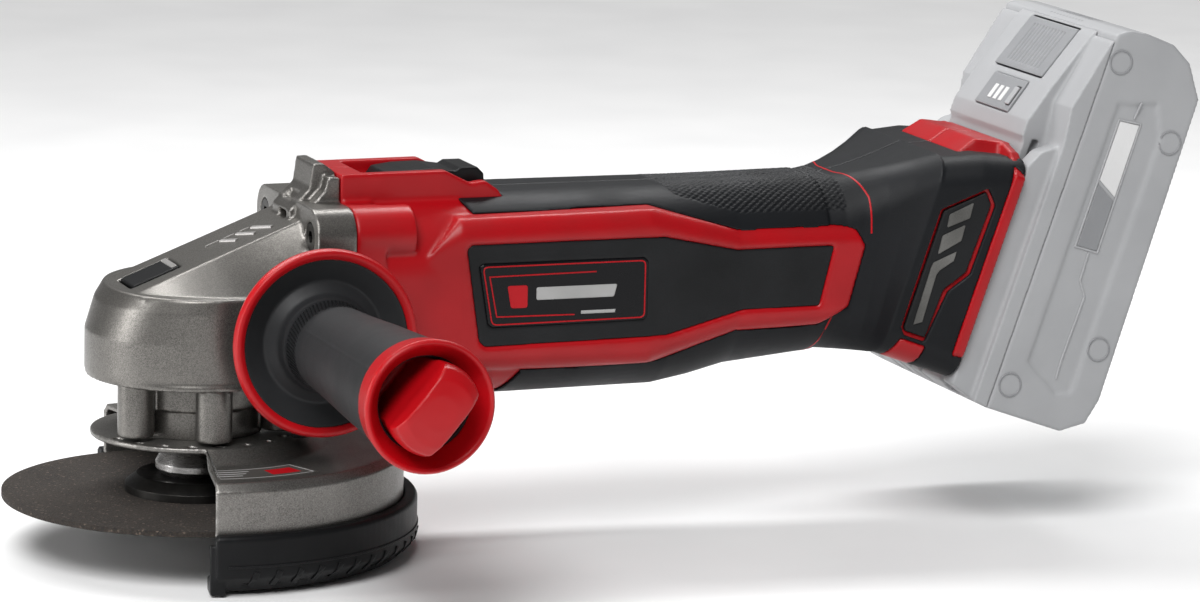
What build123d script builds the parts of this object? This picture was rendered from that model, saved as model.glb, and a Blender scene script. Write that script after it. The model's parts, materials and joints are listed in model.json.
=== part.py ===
"""Cordless angle grinder for 115 mm discs, with guard, side handle and slide-on battery.

Frame: millimetres, origin at the centre of the spindle's free end, +Z up along the spindle,
+X towards the battery, -Y towards the side handle. Left means the -Y side.
"""

import os
from math import atan2, cos, pi, radians, sin

from build123d import *

os.makedirs("parts", exist_ok=True)

# ---------------------------------------------------------------- driving dimensions
FIT = 0.05  # radial running fit of shafts
GAP = 0.3  # gap between parts that move past each other
SEAM = 0.1  # gap along the lines where trim meets the housing

# spindle and disc
DISC_LOW = 11.7
DISC_HIGH = 13.3
DISC_R = 57.5
THREAD_R = 7.0
SPINDLE_R = 6.0
NOSE_FREE = 4.5
DISC_BORE_R = 11.115

# gearing: both pitch cones have their tips on the spindle axis at the motor axis height
MOTOR_Z = 71.0
CROWN_TEETH = 33
PINION_TEETH = 10
CROWN_R = 19.0
TOOTH_FACE = 5.0
PIN_CIRCLE = 11.3  # radius on which the lock pin meets the crown gear

# gear housing
CASE_BOTTOM = 50.5
LEDGE_Z = 76.0
CASE_HALF = 32.5
CASE_REAR = 39.4
SLOPE_RISE = 0.394
SLOPE_Z0 = 84.85
SLOPE_HALF = 14.2
EAR_Y = 22.5
EAR_LOW = 50.0
EAR_HIGH = 92.0
EAR_R = 8.5

# motor housing and grip
BODY_FRONT = 39.5
WALL = 4.0
RUBBER = 1.6
RUBBER_PROUD = 0.6
CAN_R = 24.0

# battery foot: a plane leaning back, s runs up along it and d runs out of it
LEAN = 19.0
FOOT_X = 240.0
FOOT_Z = 72.5
FOOT_LOW = -32.0
FOOT_CREASE = -26.0
FOOT_REAR = -1.0

# side handle
HANDLE_X = 25.2
HANDLE_Z = 64.85
STUD_R = 4.0

# guard
COLLAR_Z = 30.4
SHEET = 1.6
RIM_R = 61.8
RIM_LOW = 12.2
GUARD_HALF_ANGLE = 101.0


def x_plane(x, z=0.0, y=0.0):
    """Plane across the tool at x, drawn in Y and Z, facing +X."""
    return Plane(origin=(x, y, z), x_dir=(0, 1, 0), z_dir=(1, 0, 0))


def side_plane(y=0.0):
    """Plane along the tool at y, drawn in X and Z, facing -Y."""
    return Plane(origin=(0, y, 0), x_dir=(1, 0, 0), z_dir=(0, -1, 0))


def foot_plane(d, s=0.0):
    """Plane parallel to the battery plane, d out of it, with its middle s up it."""
    lean = radians(LEAN)
    x = FOOT_X + d * cos(lean) + s * sin(lean)
    z = FOOT_Z - d * sin(lean) + s * cos(lean)
    return Plane(origin=(x, 0, z), x_dir=(0, 1, 0), z_dir=(cos(lean), 0, -sin(lean)))


def foot_side_plane(y):
    """Plane facing -Y whose first axis runs out of the battery plane and second up it."""
    lean = radians(LEAN)
    return Plane(
        origin=(FOOT_X, y, FOOT_Z), x_dir=(cos(lean), 0, -sin(lean)), z_dir=(0, -1, 0)
    )


def polar(radius, angle):
    return (radius * cos(radians(angle)), radius * sin(radians(angle)))


def prism(outline, low_y, high_y, plane=side_plane):
    """Solid with an outline in a side plane, from low_y to high_y."""
    with BuildPart(mode=Mode.PRIVATE) as block:
        with BuildSketch(plane(high_y)):
            with BuildLine():
                Polyline(*outline, close=True)
            make_face()
        extrude(amount=high_y - low_y)
    return block.part


def bar_y(x, z, radius, low_y, high_y):
    """Round bar along Y."""
    with BuildPart(mode=Mode.PRIVATE) as bar:
        with BuildSketch(side_plane(high_y)):
            with Locations((x, z)):
                Circle(radius)
        extrude(amount=high_y - low_y)
    return bar.part


def bar_x(y, z, radius, low_x, high_x):
    """Round bar along X."""
    with BuildPart(mode=Mode.PRIVATE) as bar:
        with BuildSketch(x_plane(low_x)):
            with Locations((y, z)):
                Circle(radius)
        extrude(amount=high_x - low_x)
    return bar.part


def bar_z(x, y, radius, low_z, high_z):
    """Round bar along Z."""
    with BuildPart(mode=Mode.PRIVATE) as bar:
        with BuildSketch(Plane.XY.offset(low_z)):
            with Locations((x, y)):
                Circle(radius)
        extrude(amount=high_z - low_z)
    return bar.part


def ring_x(outer, inner, low_x, high_x, z=MOTOR_Z):
    """Ring around an X axis."""
    with BuildPart(mode=Mode.PRIVATE) as ring:
        with BuildSketch(x_plane(low_x, z)):
            Circle(outer)
            Circle(inner, mode=Mode.SUBTRACT)
        extrude(amount=high_x - low_x)
    return ring.part


def ring_z(outer, inner, low_z, high_z):
    """Ring around the spindle axis."""
    with BuildPart(mode=Mode.PRIVATE) as ring:
        with BuildSketch(Plane.XY.offset(low_z)):
            Circle(outer)
            Circle(inner, mode=Mode.SUBTRACT)
        extrude(amount=high_z - low_z)
    return ring.part


def spun(profile, angle=360.0, start=0.0):
    """Solid turned about the spindle axis from a profile of (radius, height)."""
    turn = radians(start)
    with BuildPart(mode=Mode.PRIVATE) as turned:
        with BuildSketch(
            Plane(origin=(0, 0, 0), x_dir=(cos(turn), sin(turn), 0), z_dir=(sin(turn), -cos(turn), 0))
        ):
            with BuildLine():
                Polyline(*profile, close=True)
            make_face()
        revolve(axis=Axis.Z, revolution_arc=angle)
    return turned.part


def handle_spun(profile):
    """Solid turned about the side handle's axis from a profile of (radius, y)."""
    with BuildPart(mode=Mode.PRIVATE) as turned:
        with BuildSketch(Plane(origin=(HANDLE_X, 0, HANDLE_Z), x_dir=(1, 0, 0), z_dir=(0, 0, 1))):
            with BuildLine():
                Polyline(*profile, close=True)
            make_face()
        revolve(axis=Axis((HANDLE_X, 0, HANDLE_Z), (0, 1, 0)))
    return turned.part


# ---------------------------------------------------------------- forms of the tool body
def barrel_form(inset):
    """Motor barrel and grip: rounded sections along X, shrunk by inset."""
    stations = (
        (BODY_FRONT, 41.0, 101.0, 61.0, 22.0),
        (92.0, 41.0, 101.0, 61.0, 22.0),
        (139.0, 41.2, 101.0, 57.0, 21.0),
        (151.0, 43.2, 101.0, 54.0, 20.0),
        (163.0, 46.0, 101.2, 51.0, 19.0),
        (192.0, 48.8, 101.6, 49.0, 18.0),
    )
    with BuildPart(mode=Mode.PRIVATE) as form:
        for x, low, high, width, radius in stations:
            with BuildSketch(x_plane(x, (low + high) / 2)):
                RectangleRounded(width - 2 * inset, high - low - 2 * inset, radius - inset)
        loft(ruled=True)
    return form.part


def neck_form(inset):
    """Flare from the grip to the battery foot."""
    steps = 5
    with BuildPart(mode=Mode.PRIVATE) as form:
        for i in range(steps + 1):
            share = i / steps
            lean = radians(LEAN * share)
            x = 192.0 + 23.5 * share
            low = 48.8 + 1.6 * share**2
            high = 101.6 + 9.5 * share**1.6
            width = 49.0 + 23.0 * share**2.2
            radius = 18.0 - 9.0 * share
            z = (low + high) / 2
            section = Plane(
                origin=(x, 0, z), x_dir=(0, 1, 0), z_dir=(cos(lean), 0, -sin(lean))
            )
            with BuildSketch(section):
                RectangleRounded(
                    width - 2 * inset, (high - low) / cos(lean) - 2 * inset, radius - inset
                )
        loft(ruled=True)
    return form.part


def foot_form(inset):
    """Battery foot, a leaning block that widens towards the battery."""
    stations = (
        (FOOT_CREASE + 0.0, FOOT_LOW, 30.5, 72.0, 9.0),
        (-14.0, FOOT_LOW, 35.5, 76.0, 9.0),
        (FOOT_REAR, FOOT_LOW, 38.5, 79.0, 8.0),
    )
    with BuildPart(mode=Mode.PRIVATE) as form:
        for d, low, high, width, radius in stations:
            with BuildSketch(foot_plane(d, (low + high) / 2)):
                RectangleRounded(width - 2 * inset, high - low - 2 * inset, radius - inset)
        loft(ruled=True)
    return form.part


BAND_OUTLINE = (
    (62.0, 86.0), (62.0, 60.0), (70.0, 52.0), (93.0, 49.6), (140.0, 50.6),
    (165.0, 58.2), (189.0, 58.9), (198.2, 64.6), (203.2, 83.0), (199.7, 89.4),
    (161.5, 89.4), (134.0, 97.3), (72.0, 96.6),
)
PANEL_OUTLINE = (
    (73.4, 87.7), (75.0, 89.2), (136.0, 89.2), (161.0, 83.7), (193.1, 83.7),
    (188.6, 65.0), (163.8, 64.9), (138.0, 59.0), (79.4, 58.1), (77.6, 59.8),
)
LABEL_OUTLINE = (
    (77.3, 82.4), (78.6, 83.3), (129.8, 83.3), (131.0, 82.2),
    (131.0, 65.2), (129.8, 64.1), (81.6, 63.8), (80.2, 65.0),
)
RED_FRONT = (
    (39.0, 35.0), (84.0, 35.0), (92.5, 49.6), (78.0, 60.0), (78.0, 97.2),
    (75.2, 101.0), (84.5, 105.2), (91.0, 105.2), (91.0, 120.0), (39.0, 120.0),
)


def pad_form(inset):
    """Raised side pads that carry the red band, flat on the outside."""
    stations = (
        (61.0, 51.0, 91.0, 60.0, 6.0),
        (72.0, 50.0, 97.4, 62.4, 7.0),
        (132.0, 49.4, 98.4, 62.0, 7.0),
        (162.0, 57.2, 90.4, 54.0, 6.0),
        (204.0, 58.6, 90.0, 53.4, 6.0),
    )
    with BuildPart(mode=Mode.PRIVATE) as form:
        for x, low, high, width, radius in stations:
            with BuildSketch(x_plane(x, (low + high) / 2)):
                RectangleRounded(width - 2 * inset, high - low - 2 * inset, radius - inset)
        loft(ruled=True)
        add(prism(BAND_OUTLINE, -40, 40), mode=Mode.INTERSECT)
    return form.part


def front_form():
    """Square front of the motor housing with a lobe behind each gear screw."""
    with BuildPart(mode=Mode.PRIVATE) as form:
        with BuildSketch(x_plane(BODY_FRONT, MOTOR_Z)):
            RectangleRounded(61.5, 2 * (EAR_HIGH - MOTOR_Z) + 2 * EAR_R, EAR_R)
        extrude(amount=9.0)
        for y in (-EAR_Y, EAR_Y):
            for z in (EAR_LOW, EAR_HIGH):
                with BuildSketch(x_plane(BODY_FRONT)):
                    with Locations((y, z)):
                        Circle(EAR_R)
                extrude(amount=18.5)
    return form.part


RAIL_PROFILE = (
    (BODY_FRONT, 96.0), (BODY_FRONT, 108.6), (72.0, 108.8), (80.0, 104.8),
    (84.5, 105.4), (88.5, 102.6), (91.0, 99.0), (91.0, 96.0),
)


def rail_form():
    """Block on top of the housing whose two side walls guard the switch slider."""
    with BuildPart(mode=Mode.PRIVATE) as form:
        add(prism(RAIL_PROFILE, -14.6, 14.6))
        add(prism([(47.0, 104.6), (89.0, 102.4), (95.0, 120.0), (47.0, 120.0)], -10.6, 10.6),
            mode=Mode.SUBTRACT)
    return form.part


def cap_form():
    """Red cap and rim of the foot that surround the battery's rail plate."""
    with BuildPart(mode=Mode.PRIVATE) as form:
        with BuildSketch(foot_plane(-17.0)):
            with BuildLine():
                Polyline((-22.0, 31.0), (22.0, 31.0), (22.0, 34.0), (-22.0, 34.0), close=True)
            make_face()
        with BuildSketch(foot_plane(-12.5)):
            with BuildLine():
                Polyline((-24.0, 32.0), (24.0, 32.0), (21.0, 39.6), (-21.0, 39.6), close=True)
            make_face()
        with BuildSketch(foot_plane(FOOT_REAR)):
            with BuildLine():
                Polyline((-29.0, 32.0), (29.0, 32.0), (21.5, 41.8), (-21.5, 41.8), close=True)
            make_face()
        loft(ruled=True)
    return form.part


def rim_form():
    """Red rim along the rear edge of the foot."""
    with BuildPart(mode=Mode.PRIVATE) as form:
        with BuildSketch(foot_plane(-4.6)):
            with BuildLine():
                Polyline(
                    (-31.5, FOOT_LOW), (31.5, FOOT_LOW), (39.8, -24.0), (39.8, 33.0), (30.0, 39.6),
                    (21.4, 41.4), (-21.4, 41.4), (-30.0, 39.6), (-39.8, 33.0), (-39.8, -24.0),
                    close=True,
                )
            make_face()
        extrude(amount=FOOT_REAR + 4.6)
    return form.part


def insert_outline(grow):
    """Outline (d, s) of the leaning inset panel on each side of the foot."""
    return (
        (-21.6 - grow, -21.6), (-21.0, -22.6 - grow), (-14.2, -22.6 - grow), (-13.6 + grow, -7.0),
        (-8.6 + grow, 0.2), (-8.2 + grow, 22.4), (-11.0, 25.6 + grow), (-21.8 - grow, 16.0),
    )


# ---------------------------------------------------------------- spindle group
with BuildPart() as spindle:
    with BuildSketch(side_plane()):
        with BuildLine():
            Polyline(
                (0, 0), (THREAD_R, 0), (THREAD_R, NOSE_FREE),
                (THREAD_R - 0.6, NOSE_FREE), (THREAD_R - 0.6, NOSE_FREE + 0.5),
                (THREAD_R, NOSE_FREE + 0.5), (THREAD_R, 18.4), (10.2, 18.4), (12.0, 20.2),
                (12.0, 22.0), (9.0, 27.6), (SPINDLE_R, 27.6), (SPINDLE_R, 54.5),
                (4.0, 54.5), (4.0, 74.0), (3.4, 74.6), (0, 74.6), close=True,
            )
        make_face()
    revolve(axis=Axis.Z)
    spindle.part.label = "spindle"
    export_step(spindle.part, "parts/spindle.step")

with BuildPart() as inner_flange:
    add(spun([(THREAD_R + FIT, 13.3), (10.9, 13.3), (21.0, 13.3), (21.0, 15.6), (17.5, 18.4),
              (THREAD_R + FIT, 18.4)]))
    inner_flange.part.label = "inner_flange"
    export_step(inner_flange.part, "parts/inner_flange.step")

with BuildPart() as grinding_disc:
    add(spun([(DISC_BORE_R, DISC_LOW), (DISC_R, DISC_LOW), (DISC_R, DISC_HIGH), (DISC_BORE_R, DISC_HIGH)]))
    grinding_disc.part.label = "grinding_disc"
    export_step(grinding_disc.part, "parts/grinding_disc.step")

with BuildPart() as flange_nut:
    add(spun([(THREAD_R + FIT, 5.3), (11.5, 5.3), (11.5, 7.2), (20.0, 7.2), (20.8, 8.0), (20.8, 11.7),
              (11.0, 11.7), (11.0, 13.2), (THREAD_R + FIT, 13.2)]))
    with Locations(Plane.XY.offset(6.5)):
        with PolarLocations(15.4, 4):
            Cylinder(2.4, 8.0, mode=Mode.SUBTRACT)
    flange_nut.part.label = "flange_nut"
    export_step(flange_nut.part, "parts/flange_nut.step")


# Both bevel gears are cut along lines that meet at the cone tip (0, 0, MOTOR_Z).
PINION_R = CROWN_R * PINION_TEETH / CROWN_TEETH
CONE = (CROWN_R**2 + PINION_R**2) ** 0.5
MODULE = 2 * CROWN_R / CROWN_TEETH
PINION_CONE = atan2(PINION_R, CROWN_R)
TOOTH_TIP = 0.72  # tooth above the pitch cone, in modules
TOOTH_SINK = 1.05  # tooth below the pitch cone, a little into the blank
BLANK_SINK = 0.98  # blank surface below the pitch cone
TOOTH_ROOT_SHARE = 0.63  # root half width, in quarter pitches of the gear
TOOTH_TIP_SHARE = 0.2232


def tooth(pitch_angle, turn, axis_up):
    """One straight bevel tooth: a frustum between two back cones."""
    root_rise = -TOOTH_SINK * MODULE
    tip_rise = TOOTH_TIP * MODULE
    with BuildPart(mode=Mode.PRIVATE) as one:
        for distance in (CONE, CONE - TOOTH_FACE):
            scale_here = distance / CONE
            radius = distance * sin(pitch_angle)
            height = distance * cos(pitch_angle)
            spoke = Vector(cos(turn), sin(turn), 0) if axis_up else Vector(0, cos(turn), sin(turn))
            along = Vector(0, 0, -1) if axis_up else Vector(1, 0, 0)
            centre = Vector(0, 0, MOTOR_Z) + spoke * radius + along * height
            rise = spoke * cos(pitch_angle) - along * sin(pitch_angle)
            side = along.cross(spoke)
            half_root = TOOTH_ROOT_SHARE * pi * MODULE / 2 * scale_here
            half_tip = TOOTH_TIP_SHARE * pi * MODULE / 2 * scale_here
            with BuildSketch(Plane(origin=centre, x_dir=side, z_dir=side.cross(rise))):
                with BuildLine():
                    Polyline(
                        (-half_root, root_rise * scale_here), (half_root, root_rise * scale_here),
                        (half_tip, tip_rise * scale_here), (-half_tip, tip_rise * scale_here),
                        close=True,
                    )
                make_face()
        loft(ruled=True)
    return one.part


def root_radius(pitch_angle, distance):
    return distance * sin(pitch_angle) - BLANK_SINK * MODULE * distance / CONE * cos(pitch_angle)


def root_height(pitch_angle, distance):
    return distance * cos(pitch_angle) + BLANK_SINK * MODULE * distance / CONE * sin(pitch_angle)


CROWN_CONE = pi / 2 - PINION_CONE
INNER = CONE - TOOTH_FACE
with BuildPart() as crown_gear:
    outer_r = root_radius(CROWN_CONE, CONE)
    inner_r = root_radius(CROWN_CONE, INNER)
    outer_z = MOTOR_Z - root_height(CROWN_CONE, CONE)
    inner_z = MOTOR_Z - root_height(CROWN_CONE, INNER)
    add(spun([(SPINDLE_R + 2.0, 57.0), (SPINDLE_R + 2.0, 54.8), (outer_r - 1.0, 57.5),
              (outer_r, 58.8), (outer_r, outer_z), (inner_r, inner_z), (9.0, inner_z - 0.4),
              (9.0, inner_z - 2.0), (4.0 + FIT, inner_z - 2.0), (4.0 + FIT, 54.8),
              (SPINDLE_R + 1.9, 54.8)]))
    for i in range(CROWN_TEETH):
        add(tooth(CROWN_CONE, 2 * pi * i / CROWN_TEETH, True))
    # holes for the spindle lock
    with Locations(Plane.XY.offset(60.0)):
        with PolarLocations(PIN_CIRCLE, 6, start_angle=180):
            Cylinder(2.2, 24.0, mode=Mode.SUBTRACT)
    crown_gear.part.label = "crown_gear"
    export_step(crown_gear.part, "parts/crown_gear.step")

with BuildPart() as spindle_bearing:
    add(spun([(SPINDLE_R + FIT, 36.0), (8.6, 36.0), (8.6, 36.8), (13.2, 36.8), (13.2, 36.0),
              (15.9, 36.0), (15.9, 46.0), (13.2, 46.0), (13.2, 45.2), (8.6, 45.2), (8.6, 46.0),
              (SPINDLE_R + FIT, 46.0)]))
    spindle_bearing.part.label = "spindle_bearing"
    export_step(spindle_bearing.part, "parts/spindle_bearing.step")

with BuildPart() as spindle_bush:
    add(ring_z(6.4, 4.0 + FIT, 67.0, 75.0))
    spindle_bush.part.label = "spindle_bush"
    export_step(spindle_bush.part, "parts/spindle_bush.step")

with BuildPart() as spindle_seal:
    add(spun([(SPINDLE_R + 0.1, 30.5), (13.0, 30.5), (13.0, 33.6), (SPINDLE_R + 0.1, 33.6)]))
    spindle_seal.part.label = "spindle_seal"
    export_step(spindle_seal.part, "parts/spindle_seal.step")

# ---------------------------------------------------------------- gear housing and bearing cap
POSTS = ((-22.0, -12.0), (-2.0, -25.0), (22.0, -12.0), (-2.0, 25.0))
POST_R = 5.4
POST_LOW = 33.0
LEVER_X = 31.5
LEVER_Y = -18.0


def case_block(stations):
    with BuildPart(mode=Mode.PRIVATE) as block:
        for z, reach, half in stations:
            with BuildSketch(Plane.XY.offset(z)):
                with BuildLine():
                    Line((CASE_REAR - 10, -half), (0, -half))
                    EllipticalCenterArc((0, 0), reach, half, start_angle=90, arc_size=180)
                    Line((0, half), (CASE_REAR - 10, half))
                    Line((CASE_REAR - 10, half), (CASE_REAR - 10, -half))
                make_face()
        loft(ruled=True)
    return block.part


def roof_z(x):
    """Height of the sloping roof above x."""
    return SLOPE_Z0 + SLOPE_RISE * x


def slope_block(low, inset):
    """Sloping roof of the gear housing: narrow top, wide foot on the ledge."""
    with BuildPart(mode=Mode.PRIVATE) as block:
        for x, foot in ((-22.5, 21.0), (0.0, 31.0), (CASE_REAR - 10, 31.0)):
            with BuildSketch(x_plane(x + inset if x < 0 else x)):
                with BuildLine():
                    Polyline(
                        (-foot + inset, low), (foot - inset, low),
                        (SLOPE_HALF - inset, roof_z(x) - inset), (-SLOPE_HALF + inset, roof_z(x) - inset),
                        close=True,
                    )
                make_face()
        loft(ruled=True)
    return block.part


LOCK_X = -12.0


with BuildPart() as gear_housing:
    add(case_block([(CASE_BOTTOM, 33.3, CASE_HALF), (62.5, 33.3, CASE_HALF)]))
    add(case_block([(62.5, 33.3, CASE_HALF), (71.7, 30.3, CASE_HALF)]))
    add(case_block([(71.7, 30.3, CASE_HALF), (LEDGE_Z, 27.4, CASE_HALF - 0.4)]))
    add(slope_block(LEDGE_Z - 1.0, 0.0))
    # apron over the bearing cap's flange
    add(ring_z(33.0, 30.2, 49.0, CASE_BOTTOM))
    # square rear flange with its four ears
    with BuildSketch(x_plane(27.4, MOTOR_Z)):
        RectangleRounded(2 * EAR_Y + 2 * EAR_R, EAR_HIGH - EAR_LOW + 2 * EAR_R, EAR_R)
    extrude(amount=CASE_REAR - 27.4)
    # raised block and chimney of the air outlet
    add(prism([(25.4, 92.0), (25.4, 97.6), (31.6, 104.0), (32.6, 111.2), (35.6, 111.4),
               (CASE_REAR, 108.6), (CASE_REAR, 92.0)], -8.6, 8.6))
    add(prism([(27.0, 92.0), (27.0, 96.0), (34.8, 104.0), (35.8, 108.0), (CASE_REAR, 107.6),
               (CASE_REAR, 92.0)], -13.6, 13.6))
    # handle bosses, one on each side
    for side in (-1, 1):
        with BuildSketch(Plane(origin=(HANDLE_X, side * 30.0, HANDLE_Z), x_dir=(1, 0, 0),
                               z_dir=(0, side, 0))):
            Circle(12.0)
        extrude(amount=5.5)
    # hollow inside: gear chamber, seat of the bush, bearing seat and outlet duct
    with BuildSketch(Plane.XY.offset(48.0)):
        Circle(22.5)
    extrude(amount=20.5, mode=Mode.SUBTRACT)
    with BuildSketch(Plane.XY.offset(66.0)):
        Circle(6.45)
    extrude(amount=10.5, mode=Mode.SUBTRACT)
    with BuildSketch(x_plane(6.6, MOTOR_Z)):
        Circle(9.0)
    extrude(amount=40.0, mode=Mode.SUBTRACT)
    with BuildSketch(x_plane(27.0, MOTOR_Z)):
        Circle(11.05)
    extrude(amount=20.0, mode=Mode.SUBTRACT)
    with BuildSketch(x_plane(35.5, MOTOR_Z)):
        Circle(22.0)
    extrude(amount=10.0, mode=Mode.SUBTRACT)
    # two slanting outlet windows, one in the block and one in its step
    add(prism([(20.0, 99.6), (29.4, 99.6), (31.0, 102.4), (20.0, 102.4)], -3.4, 4.6), mode=Mode.SUBTRACT)
    add(prism([(20.0, 94.6), (29.0, 94.6), (29.0, 96.8), (20.0, 96.8)], -5.0, 2.0), mode=Mode.SUBTRACT)
    # shaft of the spindle lock and the recess around its button
    add(bar_z(-PIN_CIRCLE, 0, 2.0, 60.0, 90.0), mode=Mode.SUBTRACT)
    add(prism([(LOCK_X - 10.2, roof_z(LOCK_X - 10.2) - 4.2), (LOCK_X + 5.0, roof_z(LOCK_X + 5.0) - 5.0),
               (LOCK_X + 5.0, 90.0), (LOCK_X - 10.2, 90.0)], -7.2, 7.2), mode=Mode.SUBTRACT)
    # screw holes in the ears, cap screw holes and the two M8 handle threads
    for y in (-EAR_Y, EAR_Y):
        for z in (EAR_LOW, EAR_HIGH):
            add(bar_x(y, z, 2.3, 26.0, 41.0), mode=Mode.SUBTRACT)
            add(bar_x(y, z, 4.4, 25.0, 31.0), mode=Mode.SUBTRACT)
    for x, y in POSTS:
        add(bar_z(x, y, 1.9, 49.0, 61.0), mode=Mode.SUBTRACT)
    for side in (-1, 1):
        add(bar_y(HANDLE_X, HANDLE_Z, STUD_R, *sorted((side * 22.0, side * 36.0))), mode=Mode.SUBTRACT)
    gear_housing.part.label = "gear_housing"
    export_step(gear_housing.part, "parts/gear_housing.step")

with BuildPart() as bearing_cap:
    with BuildSketch(Plane.XY.offset(48.6)):
        Circle(29.9)
    extrude(amount=CASE_BOTTOM - 48.6)
    with BuildSketch(x_plane(27.3)):
        with Locations((0, 50)):
            Rectangle(80, 20)
    extrude(amount=10.0, mode=Mode.SUBTRACT)
    with BuildSketch(Plane.XY.offset(40.5)):
        Circle(20.6)
    extrude(amount=8.2)
    with BuildSketch(Plane.XY.offset(COLLAR_Z - 0.4)):
        Circle(18.9)
    extrude(amount=10.6)
    for x, y in POSTS:
        with BuildSketch(Plane.XY.offset(POST_LOW)):
            with Locations((x, y)):
                Circle(POST_R)
        extrude(amount=15.8)
    # lug that carries the pin of the guard lever
    with BuildSketch(Plane.XY.offset(38.0)):
        with BuildLine():
            Polyline((18.0, -9.0), (19.0, -17.0), (LEVER_X - 2.0, LEVER_Y - 3.6),
                     (LEVER_X + 3.4, LEVER_Y - 1.0), (LEVER_X + 1.6, LEVER_Y + 3.8), close=True)
        make_face()
    extrude(amount=3.3)
    add(bar_z(LEVER_X, LEVER_Y, 2.02, 37.0, 45.0), mode=Mode.SUBTRACT)
    with BuildSketch(Plane.XY.offset(COLLAR_Z - 2.4)):
        Circle(20.6)
        Circle(14.0, mode=Mode.SUBTRACT)
    extrude(amount=2.0)
    with BuildSketch(Plane.XY.offset(33.6)):
        Circle(16.0)
    extrude(amount=20.0, mode=Mode.SUBTRACT)
    with BuildSketch(Plane.XY.offset(20.0)):
        Circle(13.05)
    extrude(amount=20.0, mode=Mode.SUBTRACT)
    for x, y in POSTS:
        add(bar_z(x, y, 2.2, 30.0, 52.0), mode=Mode.SUBTRACT)
        add(bar_z(x, y, 3.9, 30.0, 36.6), mode=Mode.SUBTRACT)
    bearing_cap.part.label = "bearing_cap"
    export_step(bearing_cap.part, "parts/bearing_cap.step")

with BuildPart() as cap_screws:
    for x, y in POSTS:
        with BuildSketch(Plane.XY.offset(33.4)):
            with Locations((x, y)):
                Circle(3.6)
        extrude(amount=3.2)
        with BuildSketch(Plane.XY.offset(33.4)):
            with Locations((x, y)):
                RegularPolygon(1.7, 6)
        extrude(amount=1.8, mode=Mode.SUBTRACT)
        with BuildSketch(Plane.XY.offset(36.6)):
            with Locations((x, y)):
                Circle(1.85)
        extrude(amount=23.0)
    cap_screws.part.label = "cap_screws"
    export_step(cap_screws.part, "parts/cap_screws.step")

with BuildPart() as gear_screws:
    for y in (-EAR_Y, EAR_Y):
        for z in (EAR_LOW, EAR_HIGH):
            with BuildSketch(x_plane(27.6)):
                with Locations((y, z)):
                    Circle(4.1)
            extrude(amount=3.3)
            with BuildSketch(x_plane(27.6)):
                with Locations((y, z)):
                    RegularPolygon(2.0, 6)
            extrude(amount=1.8, mode=Mode.SUBTRACT)
            with BuildSketch(x_plane(30.9)):
                with Locations((y, z)):
                    Circle(2.0)
            extrude(amount=24.0)
    gear_screws.part.label = "gear_screws"
    export_step(gear_screws.part, "parts/gear_screws.step")

# ---------------------------------------------------------------- spindle lock
LOCK_FRONT = LOCK_X - 9.6
LOCK_REAR = LOCK_X + 4.4
with BuildPart() as lock_button:
    add(prism([(LOCK_FRONT, roof_z(LOCK_FRONT) - 1.3), (LOCK_FRONT, roof_z(LOCK_FRONT) + 0.3),
               (LOCK_REAR, roof_z(LOCK_REAR) + 0.3), (LOCK_REAR, roof_z(LOCK_REAR) - 2.2)], -6.8, 6.8))
    lock_button.part.label = "lock_button"
    export_step(lock_button.part, "parts/lock_button.step")

with BuildPart() as lock_pin:
    add(bar_z(-PIN_CIRCLE, 0, 1.9, 66.7, 77.5))
    lock_pin.part.label = "lock_pin"
    export_step(lock_pin.part, "parts/lock_pin.step")

# ---------------------------------------------------------------- guard group
half_turn = 2 * GUARD_HALF_ANGLE
with BuildPart() as guard_shell:
    add(spun([(19.25, COLLAR_Z), (31.4, COLLAR_Z), (31.4, COLLAR_Z + SHEET), (19.25, COLLAR_Z + SHEET)]))
    add(spun([(31.0, COLLAR_Z), (37.4, 26.4), (58.8, 26.4), (60.2, 25.0), (60.2, RIM_LOW),
              (RIM_R, RIM_LOW), (RIM_R, 25.7), (59.5, 28.0), (38.0, 28.0), (32.0, COLLAR_Z + SHEET),
              (31.0, COLLAR_Z + SHEET)], half_turn, -GUARD_HALF_ANGLE))
    for i in range(9):
        x, y = polar(28.3, -160.0 + 17.0 * i)
        add(bar_z(x, y, 1.6, COLLAR_Z - 1.0, COLLAR_Z + 3.0), mode=Mode.SUBTRACT)
    guard_shell.part.label = "guard_shell"
    export_step(guard_shell.part, "parts/guard_shell.step")

# clip-on cover that closes the guard from below for cutting discs
COVER_IN = RIM_R + GAP
with BuildPart() as cut_cover:
    add(spun([(COVER_IN, 0.8), (COVER_IN, 13.6), (65.2, 13.6), (66.0, 12.6), (66.0, 1.5), (61.5, -3.4),
              (44.0, -4.4), (44.0, -2.2), (60.4, -1.4)], half_turn, -GUARD_HALF_ANGLE))
    for side in (-1, 1):
        x, y = polar(60.0, side * (GUARD_HALF_ANGLE - 0.5))
        with BuildSketch(Plane.XY.offset(-4.0)):
            with Locations(Location((x, y), side * (GUARD_HALF_ANGLE - 0.5))):
                Rectangle(9.0, 4.5)
        extrude(amount=14.5)
    add(ring_z(COVER_IN, 40.0, 0.4, 40.0), mode=Mode.SUBTRACT)
    for i in range(12):
        angle = -GUARD_HALF_ANGLE + 8.0 + 8.0 * i
        for turn in (angle, -angle):
            x, y = polar(64.4, turn)
            with BuildSketch(Plane.XY.offset(-6.0)):
                with Locations(Location((x, y), turn)):
                    Rectangle(3.4, 3.0)
            extrude(amount=5.4, mode=Mode.SUBTRACT)
    cut_cover.part.label = "cut_cover"
    export_step(cut_cover.part, "parts/cut_cover.step")

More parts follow.
